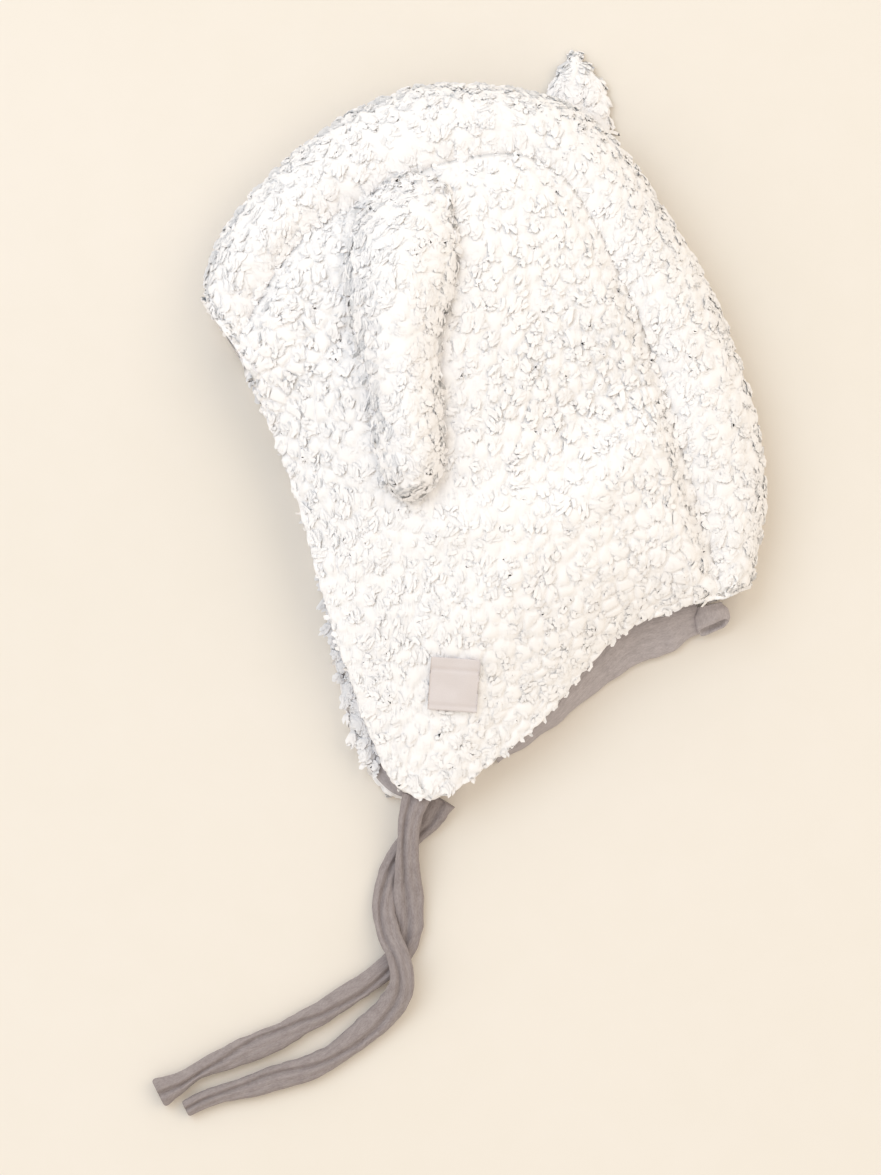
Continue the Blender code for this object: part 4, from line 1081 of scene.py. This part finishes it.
def label_material():
    """Smooth woven cloth of a pale pink, bare."""
    made, tree, shader, height = speckled("pale_pink_label_cloth", "UV", (0.76, 0.695, 0.70, 1.0),
                                          (0.69, 0.63, 0.63, 1.0), 0.75, sheen=0.1, Coarse=120.0,
                                          Fine=2500.0, Fine_Share=0.5)
    bump(tree, shader, height, 0.25, 0.0002)
    return made


def floor_material():
    """Smooth cream board with the faintest mottling."""
    return speckled("cream_board", "Object", (0.845, 0.785, 0.725, 1.0), (0.825, 0.765, 0.695, 1.0), 0.8,
                    Coarse=4.0, Fine=60.0, Fine_Share=0.3)[0]


def build_camera():
    """A long lens straight above the middle of the photo's frame."""
    lens = bpy.data.cameras.new("view_from_above")
    lens.sensor_width = SENSOR
    lens.lens = SENSOR * CAMERA_HEIGHT / (PHOTO_HEIGHT * PIXEL)
    camera = bpy.data.objects.new("view_from_above", lens)
    camera.location = ((PHOTO_WIDTH / 2 - ORIGIN_PIXEL[0]) * PIXEL,
                       (ORIGIN_PIXEL[1] - PHOTO_HEIGHT / 2) * PIXEL, CAMERA_HEIGHT)
    bpy.context.scene.collection.objects.link(camera)
    bpy.context.scene.camera = camera


def build_floor():
    """A plain square board."""
    mesh = bpy.data.meshes.new("board")
    corners = [(x * BOARD_REACH, y * BOARD_REACH, 0.0) for x, y in ((-1, -1), (1, -1), (1, 1), (-1, 1))]
    mesh.from_pydata(corners, [], [(0, 1, 2, 3)])
    mesh.materials.append(floor_material())
    made = bpy.data.objects.new("board", mesh)
    bpy.context.scene.collection.objects.link(made)


def build_lights():
    """Three large soft lights, the strongest from the upper left, and an even warm room."""
    world = bpy.data.worlds.new("bright_room")
    world.use_nodes = True
    background = world.node_tree.nodes["Background"].inputs
    background["Color"].default_value = ROOM_COLOUR
    background["Strength"].default_value = ROOM_STRENGTH
    bpy.context.scene.world = world
    for name, size, power, colour, place in LIGHTS:
        light = bpy.data.lights.new(name, "AREA")
        light.shape = "DISK"
        light.size = size
        light.energy = power
        light.color = colour
        lamp = bpy.data.objects.new(name, light)
        lamp.location = place
        aim = unit(np.array(place))
        lamp.rotation_euler = (math.acos(aim[2]), 0.0, math.atan2(aim[1], aim[0]) + math.pi / 2)
        bpy.context.scene.collection.objects.link(lamp)
    settings = bpy.context.scene.view_settings
    settings.view_transform = "Standard"
    settings.look = "None"


SPECKLE = speckle_group()
TIE_JERSEY = jersey_material("grey_melange_jersey", (0.385, 0.335, 0.335, 1.0), (0.255, 0.215, 0.215, 1.0))
# The lining, nape band and roll use the ties' jersey painted lighter and bluer: painted light that lifts the
# shade they lie in under the hat's overhang
LINING_JERSEY_PAINTED_LIGHT = jersey_material("grey_melange_jersey_painted_light", (0.53, 0.48, 0.495, 1.0), (0.38, 0.34, 0.35, 1.0))
LABEL_CLOTH = label_material()
FLEECE = fleece_material("white_teddy_fleece", (0.975, 0.95, 0.962, 1.0), (0.955, 0.93, 0.938, 1.0))
PILE = fleece_material("white_teddy_pile", (0.985, 0.963, 0.98, 1.0), (0.97, 0.945, 0.955, 1.0))

build_camera()
build_tie("tie_near_strip", "tie_near", TIE_NEAR_ROUTE, TIE_NEAR_FORM, 61)
build_tie("tie_far_strip", "tie_far", TIE_FAR_ROUTE, TIE_FAR_FORM, 71)

hat, section_columns, near_seam_row, far_seam_row = pouch(HAT_COLUMNS, NEAR_ROWS, FOLD_ROWS, FAR_ROWS)
far_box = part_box("side_panel_far")

# How far the grids are moved to lie where the solids lie
SHIFT = np.array([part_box("centre_gusset")[0][0] - hat["outer"][..., 0].min(),
                  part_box("side_panel_near")[0][1] - hat["outer"][:, :near_seam_row + 1, 1].min(),
                  far_box[0][2] - hat["outer"][:, far_seam_row:, 2].min()])
hat = {key: grid + SHIFT for key, grid in hat.items()}
build_fleece(hat, near_seam_row, far_seam_row)
near_height = height_map(hat["outer"][:, :near_seam_row + FOLD_ROWS])


def near_top(xy):
    """Height of the hat's near side over points in plan, before both are moved by SHIFT."""
    return near_height(xy + SHIFT[:2]) - SHIFT[2]


build_label(near_top)
build_lining({key: grid[::2, ::2] for key, grid in hat.items()})
near_skin = ear_skin(NEAR_EAR_ROUTE, "near_breadth", EAR_THICKNESS, tuck=0.12, crown=1.5,
                     ground=lambda xy: near_top(xy) + LAID_GAP, rings=110, sides=72)
build_ear("near_ear", "ear_near", near_skin, hidden=0.0, count=NEAR_EAR_LOCKS, seed=17)
far_skin = ear_skin(FAR_EAR_ROUTE, "far_breadth", EAR_PRESSED, tuck=0.40, crown=0.9,
                    ground=lambda xy: np.zeros(xy.shape[:-1]), rings=90, sides=56)
build_ear("far_ear", "ear_far", far_skin, hidden=0.65, count=FAR_EAR_LOCKS, seed=27)
build_band(section_columns)
build_roll()
build_floor()
build_lights()
